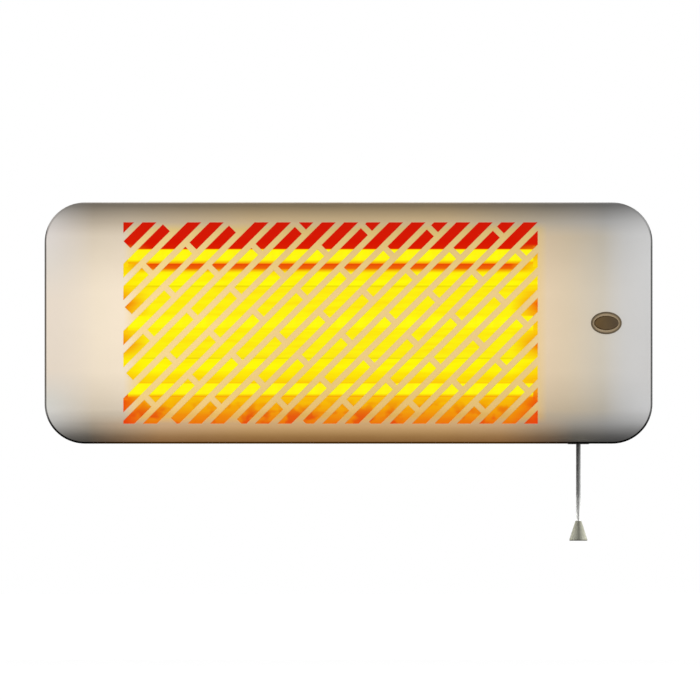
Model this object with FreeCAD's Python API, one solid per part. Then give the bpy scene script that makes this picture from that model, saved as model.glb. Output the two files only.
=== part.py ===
"""Wall-hung infrared bathroom heater with a tilting bracket and a pull-cord switch.

Millimetres. +X is to the right and +Z up as seen by someone facing the heater, and the wall is the plane
y = 0, so the front faces -Y. The origin is the centre of the wall plate's back face.
"""
import FreeCAD, Part
import math
import os
from FreeCAD import Vector

# Heater body
BODY_WIDTH = 500.0
BODY_HEIGHT = 198.8
BODY_DEPTH = 72.0
CORNER_R = 33.0
ROLL_R = 30.0
END_EDGE_R = 2.5
SHEET = 1.0
LIP_WIDTH = 10.0
REAR_INSET = 0.5
WALL_GAP = 34.0
BODY_RISE = 25.0

# Diagonal slots in the front cover
GRILLE_LEFT_MARGIN = 64.8
GRILLE_RIGHT_MARGIN = 94.4
GRILLE_EDGE_MARGIN = 16.55
SLOT_WIDTH = 8.1
SLOT_WEB = 4.94
SLOT_LENGTH = 70.4
SLOT_BRIDGE = 4.85
SLOT_ANGLE = 45.0
FIRST_ROW_OFFSET = -7.42
SMALLEST_CUT = 28.0
COVER_FACE_COUNT = 6

# Heating elements: quartz tube, ceramic cap, coil and terminal pin
TUBE_SPACING = 55.0
TUBE_R = 6.0
TUBE_WALL = 1.0
TUBE_DEPTH = 19.0
CAP_R = 8.5
CAP_NECK_R = 7.4
CAP_INSIDE = 12.0
CAP_OUTSIDE = 8.0
CAP_SOCKET = 9.0
CAP_FIT = 0.15
COIL_WIRE = 1.2
COIL_MEAN_R = 3.7
COIL_TURNS = 30
COIL_TAIL_R = 2.0
COIL_LEAD_IN = 6.0
PIN_R = 2.0
PIN_HEAD_R = 4.2
PIN_HEAD = 1.5
PIN_TAIL = 9.0
TERMINAL_NUT_R = 4.0
TERMINAL_NUT = 3.2
BUSBAR_WIDTH = 8.0
BUSBAR_SHEET = 0.8
BUSBAR_END = 7.0

# Reflector trough and the sheet holders at its ends
REFLECTOR_SHEET = 0.8
REFLECTOR_REAR_GAP = 22.0
REFLECTOR_LIP_DEPTH = 8.0
REFLECTOR_EDGE_MARGIN = 15.0
REFLECTOR_CAP_GAP = 0.62
REFLECTOR_LIP = 2.5
REFLECTOR_TAB = 10.0
HOLDER_PAST_GRILLE = 8.4
HOLDER_SHEET = 1.2
HOLDER_INSET = 4.0
HOLDER_FOOT = 12.0
HOLDER_FRONT_GAP = 6.0

# Screws and rivets
SCREW_R = 1.7
SCREW_HEAD_R = 3.3
SCREW_HEAD = 2.2
SCREW_LENGTH = 8.0
SCREW_CLEARANCE = 0.3
THREAD_CLEARANCE = 0.05
RIVET_R = 1.6
RIVET_HEAD_R = 3.0
RIVET_HEAD = 1.0
COVER_SCREW_INSET = 100.0
HOLDER_SCREW_Z = 60.0

# Rear cover vents
VENT_LENGTH = 46.0
VENT_WIDTH = 4.0
VENT_R = 1.8
VENT_PITCH = 60.0
VENT_COLUMNS = 5
VENT_HEIGHT = 74.0

# Pilot lamp
LAMP_INSET = 38.0
BEZEL_WIDTH = 25.3
BEZEL_HEIGHT = 18.4
BEZEL_FLANGE = 1.6
BEZEL_EDGE_R = 0.8
BEZEL_NECK = 12.0
LENS_WIDTH = 20.0
LENS_HEIGHT = 11.7
LENS_DEPTH = 4.0
LENS_PROUD = 0.6
LENS_EDGE_R = 1.4
LENS_LEDGE = 1.2
LAMP_RIM = 1.6
LAMP_FIT = 0.1
CLIP_SHEET = 0.8
CLIP_RIM = 3.5
NEON_R = 2.8
NEON_GAP = 1.2
NEON_LENGTH = 13.0

# Terminal block, cable gland, earth stud and cutout
BLOCK_INSET = 49.0
BLOCK_Z = 53.0
BLOCK_WIDTH = 28.0
BLOCK_HEIGHT = 16.0
BLOCK_DEPTH = 14.0
BLOCK_PITCH = 9.0
TERMINAL_SCREW_R = 2.0
TERMINAL_SCREW = 6.0
SCREW_SLOT = 0.8
BLOCK_SCREW_Z = 5.0
GLAND_INSET = 23.0
GLAND_Z = 50.0
GLAND_THREAD_R = 6.0
GLAND_BORE_R = 3.5
GLAND_FLANGE_R = 9.0
GLAND_FLANGE = 4.0
GLAND_DOME = 8.0
GLAND_DOME_R = 7.5
GLAND_NUT = 4.0
EARTH_INSET = 20.0
EARTH_Z = 15.0
EARTH_R = 2.0
EARTH_LENGTH = 11.0
EARTH_NUT_R = 3.9
EARTH_NUT = 3.0
EARTH_TAG_R = 4.5
EARTH_TAG = 1.0
CUTOUT_BELOW_SIDE = 18.44
CUTOUT_DEPTH = 38.0
CUTOUT_R = 8.0
CUTOUT_LENGTH = 8.0
CUTOUT_EAR = 14.0
CUTOUT_EAR_WIDTH = 8.0
CUTOUT_EAR_SHEET = 1.0
CUTOUT_SCREW_Z = 11.0
CUTOUT_SCREW_R = 1.2
CUTOUT_SCREW = 4.0
CUTOUT_SCREW_HEAD = 1.4
TAB_LENGTH = 7.0
TAB_WIDTH = 3.4
TAB_SHEET = 0.8
TAB_SPACING = 6.0
LEAD_R = 0.9
LEAD_PAIR = 1.75
LEAD_HOLE_Z = 15.0
SWITCHED_LEAD_Z = -13.0
LAMP_LEAD_Z = 13.0
LAMP_LEAD_SPACING = 2.4
LAMP_LEAD_RUN = 13.0
NEUTRAL_LOOP = 17.5
EARTH_APPROACH = 10.0
ARC_SHARE = 0.45
LEAD_GROMMET_R = 3.0
LEAD_GROMMET_FLANGE = 1.2
LEAD_CLEARANCE = 0.1

# Pull-cord switch
CORD_INSET = 60.4
CORD_REAR_GAP = 21.0
CORD_R = 1.9
CORD_FREE = 63.7
CORD_TRAVEL = 8.0
SWING = 25.0
BELL_TOP_R = 2.6
BELL_BASE_R = 7.5
BELL_HEIGHT = 16.4
BELL_RECESS_R = 4.2
BELL_RECESS = 8.0
BELL_FIT = 0.1
KNOT_R = 3.2
CASE_WIDTH = 41.0
CASE_LEFT = 12.0
SLIDER_HEADROOM = 4.0
CASE_RISE = 4.0
CASE_FRONT_REACH = 20.0
CASE_WALL = 2.0
CASE_PAD_HEIGHT = 40.0
CASE_SCREW_IN = 6.0
BOSS_R = 3.2
BOSS = 5.0
COVER_RIM = 1.5
COVER_FIT = 0.1
CASE_SCREW_SPACING = 26.0
STEM_R = 6.0
STEM_CLEARANCE = 0.3
SLIDER_WIDTH = 11.0
SLIDER_THICK = 12.0
SLIDER_HEIGHT = 22.0
SLIDER_REACH = 3.3
SHOULDER_R = 8.4
SHOULDER = 2.0
SPRING_WIRE = 1.0
SPRING_TURNS = 7
SPRING_LENGTH = 24.0
SPRING_GAP = 0.7
SPRING_LEAD_IN = 4.0
BEAD_R = 4.5
BEAD_CLEARANCE = 0.3
BEAD_PIN_R = 0.8
RUNNING_CLEARANCE = 0.05
CUP_MOUTH = 4.0
FAN_MARGIN = 1.0
ROTOR_TEETH = 8
ROTOR_TOOTH = 2.2
TOOTH_SHARE = 0.667
ROTOR_THICK = 8.0
ROTOR_HUB_R = 4.0
ROTOR_GAP = 0.5
ROTOR_END_GAP = 0.2
SPINDLE_R = 2.0
NOSE_HEIGHT = 2.5
NOSE_REACH = 1.9
NOSE_CLEARANCE = 0.8
CONTACT_RING = 0.6
CONTACT_REACH = 5.3
CONTACT_GAP = 0.3
CONTACT_WIDTH = 4.0
CONTACT_LUG = 2.4
BLADE_SHEET = 0.8
BLADE_WIDTH = 5.0
BLADE_OUTSIDE = 8.0
BLADE_IN = 7.0
BLADE_FIT = 0.1
GROMMET_WALL = 1.5
GROMMET_FLANGE_R = 8.8
GROMMET_FLANGE = 0.5
STEM_END_DROP = 0.4

# Wall bracket and tilt pivot
PLATE_INSET = 120.0
PLATE_HEIGHT = 64.0
PLATE_SHEET = 1.5
WALL_HOLE_INSET = 20.0
WALL_HOLE_Z = 36.0
WALL_HOLE_R = 2.75
PIVOT_OUT = 18.0
PIVOT_DROP = 20.0
PIVOT_R = 3.0
EAR_R = 8.0
EAR_FOOT = 40.0
EAR_GAP = 0.1
WASHER_R = 8.0
WASHER = 1.0
LUG_SHEET = 1.5
LUG_FOOT = 18.0
LUG_HEIGHT = 40.0
LUG_RIVET_SPACING = 26.0
BOLT_HEAD_R = 5.2
BOLT_HEAD = 3.6
BOLT_TAIL = 2.0
NUT_R = 5.4
NUT = 4.5

# Places worked out from the sizes above
REAR_Y = -WALL_GAP
FRONT_Y = REAR_Y - BODY_DEPTH
INNER_REAR_Y = REAR_Y - SHEET
LIP_FRONT_Y = INNER_REAR_Y - SHEET
BODY_BOTTOM = BODY_RISE - BODY_HEIGHT / 2
INNER_BOTTOM = BODY_BOTTOM + SHEET
TUBE_Y = FRONT_Y + TUBE_DEPTH
TUBE_Z = {"top": BODY_RISE + TUBE_SPACING, "middle": BODY_RISE, "bottom": BODY_RISE - TUBE_SPACING}
GRILLE_WIDTH = BODY_WIDTH - GRILLE_LEFT_MARGIN - GRILLE_RIGHT_MARGIN
GRILLE_HEIGHT = BODY_HEIGHT - 2 * GRILLE_EDGE_MARGIN
GRILLE_CENTRE_X = (GRILLE_LEFT_MARGIN - GRILLE_RIGHT_MARGIN) / 2
HOLDER_SPAN = GRILLE_WIDTH + 2 * HOLDER_PAST_GRILLE
HOLDER_X = HOLDER_SPAN / 2
REFLECTOR_MOUTH = BODY_HEIGHT - 2 * REFLECTOR_EDGE_MARGIN
HOLDER_HEIGHT = REFLECTOR_MOUTH - 2 * HOLDER_INSET
REFLECTOR_Y = REAR_Y - REFLECTOR_REAR_GAP
REFLECTOR_LIP_Y = FRONT_Y + REFLECTOR_LIP_DEPTH
COVER_SCREW_X = BODY_WIDTH / 2 - COVER_SCREW_INSET
LAMP_X = BODY_WIDTH / 2 - LAMP_INSET
BLOCK_X = BODY_WIDTH / 2 - BLOCK_INSET
GLAND_X = BODY_WIDTH / 2 - GLAND_INSET
EARTH_X = BODY_WIDTH / 2 - EARTH_INSET
CORD_X = BODY_WIDTH / 2 - CORD_INSET
CORD_Y = REAR_Y - CORD_REAR_GAP
CASE_HEIGHT = 2 * CASE_WALL + SPRING_LENGTH + SHOULDER + SLIDER_HEIGHT + SLIDER_HEADROOM
PLATE_WIDTH = BODY_WIDTH - 2 * PLATE_INSET
WALL_HOLE_X = PLATE_WIDTH - 2 * WALL_HOLE_INSET
PIVOT = Vector(0, -PIVOT_OUT, -PIVOT_DROP)
EAR_X = PLATE_WIDTH / 2
UP = Vector(0, 0, 1)
RIGHT = Vector(1, 0, 0)
BACK = Vector(0, 1, 0)


# Small helpers

def box(x0, x1, y0, y1, z0, z1):
    """A box between two corners, given axis by axis."""
    return Part.makeBox(x1 - x0, y1 - y0, z1 - z0, Vector(x0, y0, z0))


def rod(start, end, radius):
    """A round rod between two points."""
    run = end - start
    return Part.makeCylinder(radius, run.Length, start, run)


def ring(start, end, radius, bore):
    """A round tube between two points."""
    return rod(start, end, radius).cut(rod(start, end, bore))


def prism(points, sweep):
    """A straight-sided outline swept along a vector."""
    return Part.Face(Part.makePolygon(points + points[:1])).extrude(sweep)


def hexagon(start, end, radius):
    """A hexagonal rod between two points, with the given corner radius."""
    run = end - start
    turn = FreeCAD.Rotation(UP, run)
    corners = []
    for i in range(6):
        angle = math.pi * i / 3
        corners.append(start + turn.multVec(Vector(radius * math.cos(angle), radius * math.sin(angle), 0)))
    return prism(corners, run)


def rounded_prism(centre_x, centre_z, width, height, radius, y_back, y_front):
    """A rectangle with round corners, standing in XZ and swept along Y."""
    x = width / 2
    z = height / 2
    flat = [Vector(-x + radius, y_back, -z), Vector(x - radius, y_back, -z), Vector(x, y_back, -z + radius),
            Vector(x, y_back, z - radius), Vector(x - radius, y_back, z), Vector(-x + radius, y_back, z),
            Vector(-x, y_back, z - radius), Vector(-x, y_back, -z + radius)]
    diagonal = radius * (1 - math.sqrt(0.5))
    bends = [Vector(x - diagonal, y_back, -z + diagonal), Vector(x - diagonal, y_back, z - diagonal),
             Vector(-x + diagonal, y_back, z - diagonal), Vector(-x + diagonal, y_back, -z + diagonal)]
    edges = []
    for side in range(4):
        edges.append(Part.LineSegment(flat[2 * side], flat[2 * side + 1]).toShape())
        edges.append(Part.Arc(flat[2 * side + 1], bends[side], flat[(2 * side + 2) % 8]).toShape())
    solid = Part.Face(Part.Wire(edges)).extrude(Vector(0, y_front - y_back, 0))
    solid.translate(Vector(centre_x, 0, centre_z))
    return solid


def oval_prism(centre_x, centre_z, width, height, y_back, y_front):
    """An ellipse standing in XZ and swept along Y."""
    oval = Part.Ellipse(Vector(width / 2, 0, 0), Vector(0, height / 2, 0), Vector(0, 0, 0)).toShape()
    solid = Part.Face(Part.Wire([oval])).extrude(Vector(0, 0, abs(y_back - y_front)))
    solid.rotate(Vector(0, 0, 0), RIGHT, 90)
    solid.translate(Vector(centre_x, max(y_back, y_front), centre_z))
    return solid


def screw_along_y(x, z, seat_y):
    """A round-headed screw that enters towards -Y, its head resting on seat_y."""
    seat = Vector(x, seat_y, z)
    shank = rod(seat, seat - BACK * SCREW_LENGTH, SCREW_R)
    return shank.fuse(rod(seat, seat + BACK * SCREW_HEAD, SCREW_HEAD_R)).removeSplitter()


def cut_all(shape, tools):
    """The shape less every tool in the list."""
    return shape.cut(Part.makeCompound(tools)) if tools else shape


def save(name, shapes):
    """Write one node, a single solid or a group of solids."""
    group = shapes if isinstance(shapes, list) else [shapes]
    solids = [solid for shape in group for solid in shape.Solids]
    node = solids[0] if len(solids) == 1 else Part.makeCompound(solids)
    node.exportStep("parts/" + name + ".step")


# Front cover

def body_block(inset, y_back):
    """The body's outer form, drawn in by inset: round corners, rolled top and bottom, a small end bend."""
    front = FRONT_Y + inset
    width = BODY_WIDTH - 2 * inset
    height = BODY_HEIGHT - 2 * inset
    block = rounded_prism(0, BODY_RISE, width, height, CORNER_R - inset, y_back, front)
    front_edges = [edge for edge in block.Edges if edge.BoundBox.YMax < front + 0.01]
    block = block.makeFillet(END_EDGE_R - inset, front_edges)
    roll = ROLL_R - inset
    x = -width / 2 - SHEET
    flat = height / 2 - roll

    def roll_point(side, angle):
        """A point on the upper or lower roll, its angle in degrees from the front."""
        turn = math.radians(angle)
        rise = flat + roll * math.sin(turn)
        return Vector(x, front + roll - roll * math.cos(turn), BODY_RISE + side * rise)

    low = Vector(x, y_back, BODY_RISE - height / 2)
    top = Vector(x, y_back, BODY_RISE + height / 2)
    edges = [Part.LineSegment(low, roll_point(-1, 90)).toShape(),
             Part.Arc(roll_point(-1, 90), roll_point(-1, 45), roll_point(-1, 0)).toShape(),
             Part.LineSegment(roll_point(-1, 0), roll_point(1, 0)).toShape(),
             Part.Arc(roll_point(1, 0), roll_point(1, 45), roll_point(1, 90)).toShape(),
             Part.LineSegment(roll_point(1, 90), top).toShape(),
             Part.LineSegment(top, low).toShape()]
    profile = Part.Face(Part.Wire(edges)).extrude(Vector(width + 2 * SHEET, 0, 0))
    return block.common(profile)


def clip(outline, axis, limit, keep_below):
    """Cut a convex outline of (x, z) points off at a limit along one axis."""
    kept = []
    for here, there in zip(outline, outline[1:] + outline[:1]):
        here_in = (here[axis] <= limit) == keep_below
        there_in = (there[axis] <= limit) == keep_below
        if here_in:
            kept.append(here)
        if here_in != there_in:
            share = (limit - here[axis]) / (there[axis] - here[axis])
            kept.append((here[0] + share * (there[0] - here[0]), here[1] + share * (there[1] - here[1])))
    return kept


def outline_area(outline):
    """Area of an outline of (x, z) points."""
    doubled = sum(a[0] * b[1] - b[0] * a[1] for a, b in zip(outline, outline[1:] + outline[:1]))
    return abs(doubled) / 2


def slot_outlines():
    """Diagonal slots in running bond, clipped to the grille's rectangle, about the grille's centre."""
    along = (math.cos(math.radians(SLOT_ANGLE)), math.sin(math.radians(SLOT_ANGLE)))
    across = (along[1], -along[0])
    row_pitch = SLOT_WIDTH + SLOT_WEB
    slot_pitch = SLOT_LENGTH + SLOT_BRIDGE
    reach = math.hypot(GRILLE_WIDTH, GRILLE_HEIGHT) / 2
    rows = int(reach / row_pitch) + 1
    columns = int(reach / slot_pitch) + 2
    outlines = []
    for row in range(-rows, rows + 1):
        middle = FIRST_ROW_OFFSET + row * row_pitch
        shift = slot_pitch / 2 if row % 2 == 0 else 0.0
        for column in range(-columns, columns + 1):
            centre = shift + column * slot_pitch
            outline = []
            for u_side, v_side in ((-1, -1), (1, -1), (1, 1), (-1, 1)):
                u = centre + u_side * SLOT_LENGTH / 2
                v = middle + v_side * SLOT_WIDTH / 2
                outline.append((u * along[0] + v * across[0], u * along[1] + v * across[1]))
            for axis, half in ((0, GRILLE_WIDTH / 2), (1, GRILLE_HEIGHT / 2)):
                outline = clip(outline, axis, half, True)
                outline = clip(outline, axis, -half, False)
            if len(outline) > 2 and outline_area(outline) > SMALLEST_CUT:
                outlines.append(outline)
    return outlines


def slot_cutters():
    """Prisms that punch the slots through the front of the cover."""
    start = FRONT_Y - SHEET
    sweep = Vector(0, ROLL_R / 2, 0)
    cutters = []
    for outline in slot_outlines():
        points = [Vector(GRILLE_CENTRE_X + x, start, BODY_RISE + z) for x, z in outline]
        cutters.append(prism(points, sweep))
    return cutters


def cover_screw_places():
    """Centres of the six screws in the cover's return lip."""
    z = BODY_HEIGHT / 2 - SHEET - LIP_WIDTH / 2
    return [(x, BODY_RISE + side * z) for side in (-1, 1) for x in (-COVER_SCREW_X, 0, COVER_SCREW_X)]


def holes_along_y(places, radius, y_back, y_front):
    """Round cutters along Y at (x, z) places."""
    return [rod(Vector(x, y_back, z), Vector(x, y_front, z), radius) for x, z in places]


def in_lengths(shape, count):
    """The same solid with its long faces parted at equal steps along X."""
    frame = shape.BoundBox
    step = frame.XLength / count
    lengths = []
    for i in range(count):
        start = frame.XMin + i * step
        lengths.append(shape.common(box(start, start + step, frame.YMin - SHEET, frame.YMax + SHEET,
                                        frame.ZMin - SHEET, frame.ZMax + SHEET)))
    return lengths[0].fuse(lengths[1:])


def make_front_cover():
    """The pressed cover: hollow, open at the rear inside a return lip, with slots, lamp and cord holes."""
    shell = body_block(0, INNER_REAR_Y).cut(body_block(SHEET, LIP_FRONT_Y))
    drawn_in = 2 * (SHEET + LIP_WIDTH)
    mouth = rounded_prism(0, BODY_RISE, BODY_WIDTH - drawn_in, BODY_HEIGHT - drawn_in,
                          CORNER_R - SHEET - LIP_WIDTH, INNER_REAR_Y + SHEET, LIP_FRONT_Y - SHEET)
    cord_hole = rod(Vector(CORD_X, CORD_Y, BODY_BOTTOM - SHEET), Vector(CORD_X, CORD_Y, INNER_BOTTOM + SHEET),
                    STEM_R + STEM_CLEARANCE + GROMMET_WALL)
    lamp_hole = oval_prism(LAMP_X, BODY_RISE, LENS_WIDTH + 2 * LAMP_RIM, LENS_HEIGHT + 2 * LAMP_RIM,
                           FRONT_Y + 2 * SHEET, FRONT_Y - SHEET)
    screw_holes = holes_along_y(cover_screw_places(), SCREW_R + THREAD_CLEARANCE, INNER_REAR_Y + SHEET,
                                LIP_FRONT_Y - SHEET)
    cover = cut_all(shell, slot_cutters() + screw_holes + [mouth, cord_hole, lamp_hole])
    return in_lengths(cover, COVER_FACE_COUNT)


# Rear cover

def holder_screw_places():
    """Centres of the screws through the rear cover into the holders' feet."""
    x = HOLDER_X + HOLDER_SHEET + (HOLDER_FOOT - HOLDER_SHEET) / 2
    heights = (BODY_RISE - HOLDER_SCREW_Z, BODY_RISE + HOLDER_SCREW_Z)
    return [(GRILLE_CENTRE_X + side * x, z) for side in (-1, 1) for z in heights]


def block_screw_places():
    """Centres of the screws that hold the terminal block, between its ways."""
    middle = BODY_RISE + BLOCK_Z
    return [(BLOCK_X + side * BLOCK_PITCH / 2, middle + side * BLOCK_SCREW_Z) for side in (-1, 1)]


def switch_screw_places():
    """Centres of the screws that hold the switch case, one above the other."""
    x = CORD_X - CASE_LEFT + CASE_SCREW_IN
    z = switch_floor() + CASE_HEIGHT / 2
    return [(x, z + side * CASE_SCREW_SPACING / 2) for side in (-1, 1)]


def lug_rivet_places():
    """Centres of the rivets that hold the tilt lugs."""
    x = EAR_X + EAR_GAP + WASHER + LUG_SHEET + (LUG_FOOT - LUG_SHEET) / 2
    return [(side * x, PIVOT.z + end * LUG_RIVET_SPACING / 2) for side in (-1, 1) for end in (-1, 1)]


def make_rear_cover():
    """The flat back: vents, and holes for all that is fastened to it."""
    plate = rounded_prism(0, BODY_RISE, BODY_WIDTH - 2 * REAR_INSET, BODY_HEIGHT - 2 * REAR_INSET,
                          CORNER_R - REAR_INSET, REAR_Y, INNER_REAR_Y)
    outside = REAR_Y + SHEET
    inside = INNER_REAR_Y - SHEET
    screws = cover_screw_places() + holder_screw_places() + block_screw_places() + switch_screw_places()
    cutters = holes_along_y(screws, SCREW_R + SCREW_CLEARANCE, outside, inside)
    cutters += holes_along_y(lug_rivet_places(), RIVET_R + THREAD_CLEARANCE, outside, inside)
    gland = [(GLAND_X, BODY_RISE + GLAND_Z)]
    earth = [(EARTH_X, BODY_RISE + EARTH_Z)]
    cutters += holes_along_y(gland, GLAND_THREAD_R + THREAD_CLEARANCE, outside, inside)
    cutters += holes_along_y(earth, EARTH_R + THREAD_CLEARANCE, outside, inside)
    for column in range(VENT_COLUMNS):
        x = (column - (VENT_COLUMNS - 1) / 2) * VENT_PITCH
        for side in (-1, 1):
            cutters.append(rounded_prism(x, BODY_RISE + side * VENT_HEIGHT, VENT_LENGTH, VENT_WIDTH, VENT_R,
                                         outside, inside))
    return cut_all(plate, cutters)


# Reflector and element holders

def to_left(shape):
    """The same piece at the other end of the elements."""
    return shape.mirror(Vector(GRILLE_CENTRE_X, 0, 0), RIGHT)


def reflector_flat():
    """Half the height of the reflector's flat back, whose sloping sides pass the ceramic caps with a gap."""
    rise = REFLECTOR_MOUTH / 2 - TUBE_SPACING
    depth = TUBE_Y - REFLECTOR_LIP_Y
    slope = math.atan2(depth, rise) + math.asin((CAP_R + REFLECTOR_CAP_GAP) / math.hypot(rise, depth))
    return REFLECTOR_MOUTH / 2 - (REFLECTOR_Y - REFLECTOR_LIP_Y) / math.tan(slope)


def mitred_offset(points, distance):
    """A line of (y, z) points moved sideways by a distance, with mitred corners."""
    moved = []
    for i, point in enumerate(points):
        before = points[max(i - 1, 0)]
        after = points[min(i + 1, len(points) - 1)]
        normals = []
        for a, b in ((before, point), (point, after)):
            length = math.hypot(b[0] - a[0], b[1] - a[1])
            if length > 0:
                normals.append(((a[1] - b[1]) / length, (b[0] - a[0]) / length))
        first = normals[0]
        last = normals[-1]
        share = distance / (1 + first[0] * last[0] + first[1] * last[1])
        moved.append((point[0] + share * (first[0] + last[0]), point[1] + share * (first[1] + last[1])))
    return moved


def rivet_places():
    """(y, z) of the rivets that join the reflector's tabs to a holder."""
    y = REFLECTOR_Y + REFLECTOR_SHEET + (REFLECTOR_TAB - REFLECTOR_SHEET) / 2
    return [(y, BODY_RISE + side * reflector_flat() / 2) for side in (-1, 1)]


def make_reflector():
    """A folded trough, open to the front, with a tab bent back at each end."""
    mouth = REFLECTOR_MOUTH / 2
    flat = reflector_flat()
    front = [(REFLECTOR_LIP_Y, mouth + REFLECTOR_LIP), (REFLECTOR_LIP_Y, mouth), (REFLECTOR_Y, flat),
             (REFLECTOR_Y, -flat), (REFLECTOR_LIP_Y, -mouth), (REFLECTOR_LIP_Y, -mouth - REFLECTOR_LIP)]
    outline = front + mitred_offset(front, REFLECTOR_SHEET)[::-1]
    start = GRILLE_CENTRE_X - HOLDER_X
    end = GRILLE_CENTRE_X + HOLDER_X
    trough = prism([Vector(start, y, BODY_RISE + z) for y, z in outline], Vector(HOLDER_SPAN, 0, 0))
    tab_half = flat - REFLECTOR_TAB / 2
    tab = box(end - REFLECTOR_SHEET, end, REFLECTOR_Y, REFLECTOR_Y + REFLECTOR_TAB,
              BODY_RISE - tab_half, BODY_RISE + tab_half)
    holes = [rod(Vector(end + SHEET, y, z), Vector(end - SHEET, y, z), RIVET_R + THREAD_CLEARANCE)
             for y, z in rivet_places()]
    tab = cut_all(tab, holes)
    return trough.fuse([tab, to_left(tab)]).removeSplitter()


def make_reflector_rivets():
    """Two rivets at each end, through tab and holder."""
    inner = GRILLE_CENTRE_X + HOLDER_X - REFLECTOR_SHEET
    outer = GRILLE_CENTRE_X + HOLDER_X + HOLDER_SHEET
    rivets = []
    for y, z in rivet_places():
        shank = rod(Vector(inner, y, z), Vector(outer, y, z), RIVET_R)
        head = rod(Vector(outer, y, z), Vector(outer + RIVET_HEAD, y, z), RIVET_HEAD_R)
        tail = rod(Vector(inner - RIVET_HEAD, y, z), Vector(inner, y, z), RIVET_HEAD_R)
        rivet = shank.fuse([head, tail]).removeSplitter()
        rivets += [rivet, to_left(rivet)]
    return rivets


def neutral_lead_place():
    """(y, z) where the neutral lead passes through both holders, behind the reflector."""
    return (block_entry(1, LEAD_PAIR).y, BODY_RISE + LEAD_HOLE_Z)


def cutout_place():
    """(y, z) of the cutout's middle, a set distance below the reflector's upper side."""
    y = FRONT_Y + CUTOUT_DEPTH
    share = (REFLECTOR_Y - y) / (REFLECTOR_Y - REFLECTOR_LIP_Y)
    side = reflector_flat() + share * (REFLECTOR_MOUTH / 2 - reflector_flat())
    return (y, BODY_RISE + side - CUTOUT_BELOW_SIDE)


def cutout_screw_places():
    """(y, z) of the two screws that hold the cutout's ear."""
    y, z = cutout_place()
    return [(y, z + side * CUTOUT_SCREW_Z) for side in (-1, 1)]


def make_element_holder(extra_holes):
    """The right-hand sheet holder: a plate across the elements with a foot on the rear cover."""
    face = GRILLE_CENTRE_X + HOLDER_X
    back = face + HOLDER_SHEET
    low = BODY_RISE - HOLDER_HEIGHT / 2
    high = BODY_RISE + HOLDER_HEIGHT / 2
    plate = box(face, back, FRONT_Y + SHEET + HOLDER_FRONT_GAP, INNER_REAR_Y, low, high)
    foot = box(face, face + HOLDER_FOOT, INNER_REAR_Y - HOLDER_SHEET, INNER_REAR_Y, low, high)
    holes = [(TUBE_Y, z, CAP_NECK_R + CAP_FIT) for z in TUBE_Z.values()]
    holes += [(y, z, RIVET_R + THREAD_CLEARANCE) for y, z in rivet_places()]
    holes += [neutral_lead_place() + (LEAD_GROMMET_R,)]
    holes += extra_holes
    cutters = [rod(Vector(face - SHEET, y, z), Vector(back + SHEET, y, z), r) for y, z, r in holes]
    feet = [place for place in holder_screw_places() if place[0] > GRILLE_CENTRE_X]
    cutters += holes_along_y(feet, SCREW_R + THREAD_CLEARANCE, REAR_Y, INNER_REAR_Y - 2 * HOLDER_SHEET)
    return cut_all(plate.fuse(foot).removeSplitter(), cutters)


# Wound wire: one unbroken tube on pairs of arcs

def arc_from_tangent(start, tangent, end):
    """The arc from start to end that leaves along the tangent."""
    chord = end - start
    angle = tangent.getAngle(chord)
    side = tangent - chord * (tangent.dot(chord) / chord.dot(chord))
    side.normalize()
    middle = (start + end) * 0.5 + side * (chord.Length / 2 * math.tan(angle / 2))
    return Part.Arc(start, middle, end).toShape()


def biarc(start, leaving, end, arriving):
    """Two tangent arcs between two points with given directions."""
    span = end - start
    both = leaving + arriving
    spread = 2 * (1 - leaving.dot(arriving))
    reach = (math.sqrt(span.dot(both) ** 2 + spread * span.dot(span)) - span.dot(both)) / spread
    joint = (start + end + (leaving - arriving) * reach) * 0.5
    first = arc_from_tangent(start, leaving, joint)
    back = arc_from_tangent(end, arriving * -1, joint)
    second = Part.Arc(joint, back.valueAt((back.FirstParameter + back.LastParameter) / 2), end).toShape()
    return [first, second]


def wound_path(radius, tail_radius, length, lead_in, turns, wire):
    """Edges of a coil along +Z from 0 to length, with a straight run of one wire diameter at each end."""
    rise = (length - 2 * (wire + lead_in)) / turns
    start = Vector(tail_radius, 0, 0)
    points = [start + UP * wire]
    tangents = [UP]
    for step in range(2 * turns + 1):
        angle = math.pi * (step + 0.5)
        height = wire + lead_in + rise * step / 2
        points.append(Vector(radius * math.cos(angle), radius * math.sin(angle), height))
        tangent = Vector(-radius * math.sin(angle), radius * math.cos(angle), rise / (2 * math.pi))
        tangents.append(tangent.normalize())
    last_turn = angle + math.pi / 2
    finish = Vector(tail_radius * math.cos(last_turn), tail_radius * math.sin(last_turn), length)
    points.append(finish - UP * wire)
    tangents.append(UP)
    edges = [Part.LineSegment(start, points[0]).toShape()]
    for i in range(len(points) - 1):
        edges += biarc(points[i], tangents[i], points[i + 1], tangents[i + 1])
    edges.append(Part.LineSegment(points[-1], finish).toShape())
    return edges


def least_self_gap(edges, wire, radius):
    """The smallest clear gap between stretches of a coil that lie at least half a turn apart along it."""
    spots = []
    for edge in edges:
        spots += edge.discretize(Number=max(3, int(edge.Length / wire) + 1))[:-1]
    run = [0.0]
    for here, there in zip(spots, spots[1:]):
        run.append(run[-1] + (there - here).Length)
    least = run[-1]
    for i, here in enumerate(spots):
        for j in range(i + 1, len(spots)):
            if run[j] - run[i] > math.pi * radius:
                least = min(least, (spots[j] - here).Length)
    return least - wire


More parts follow.
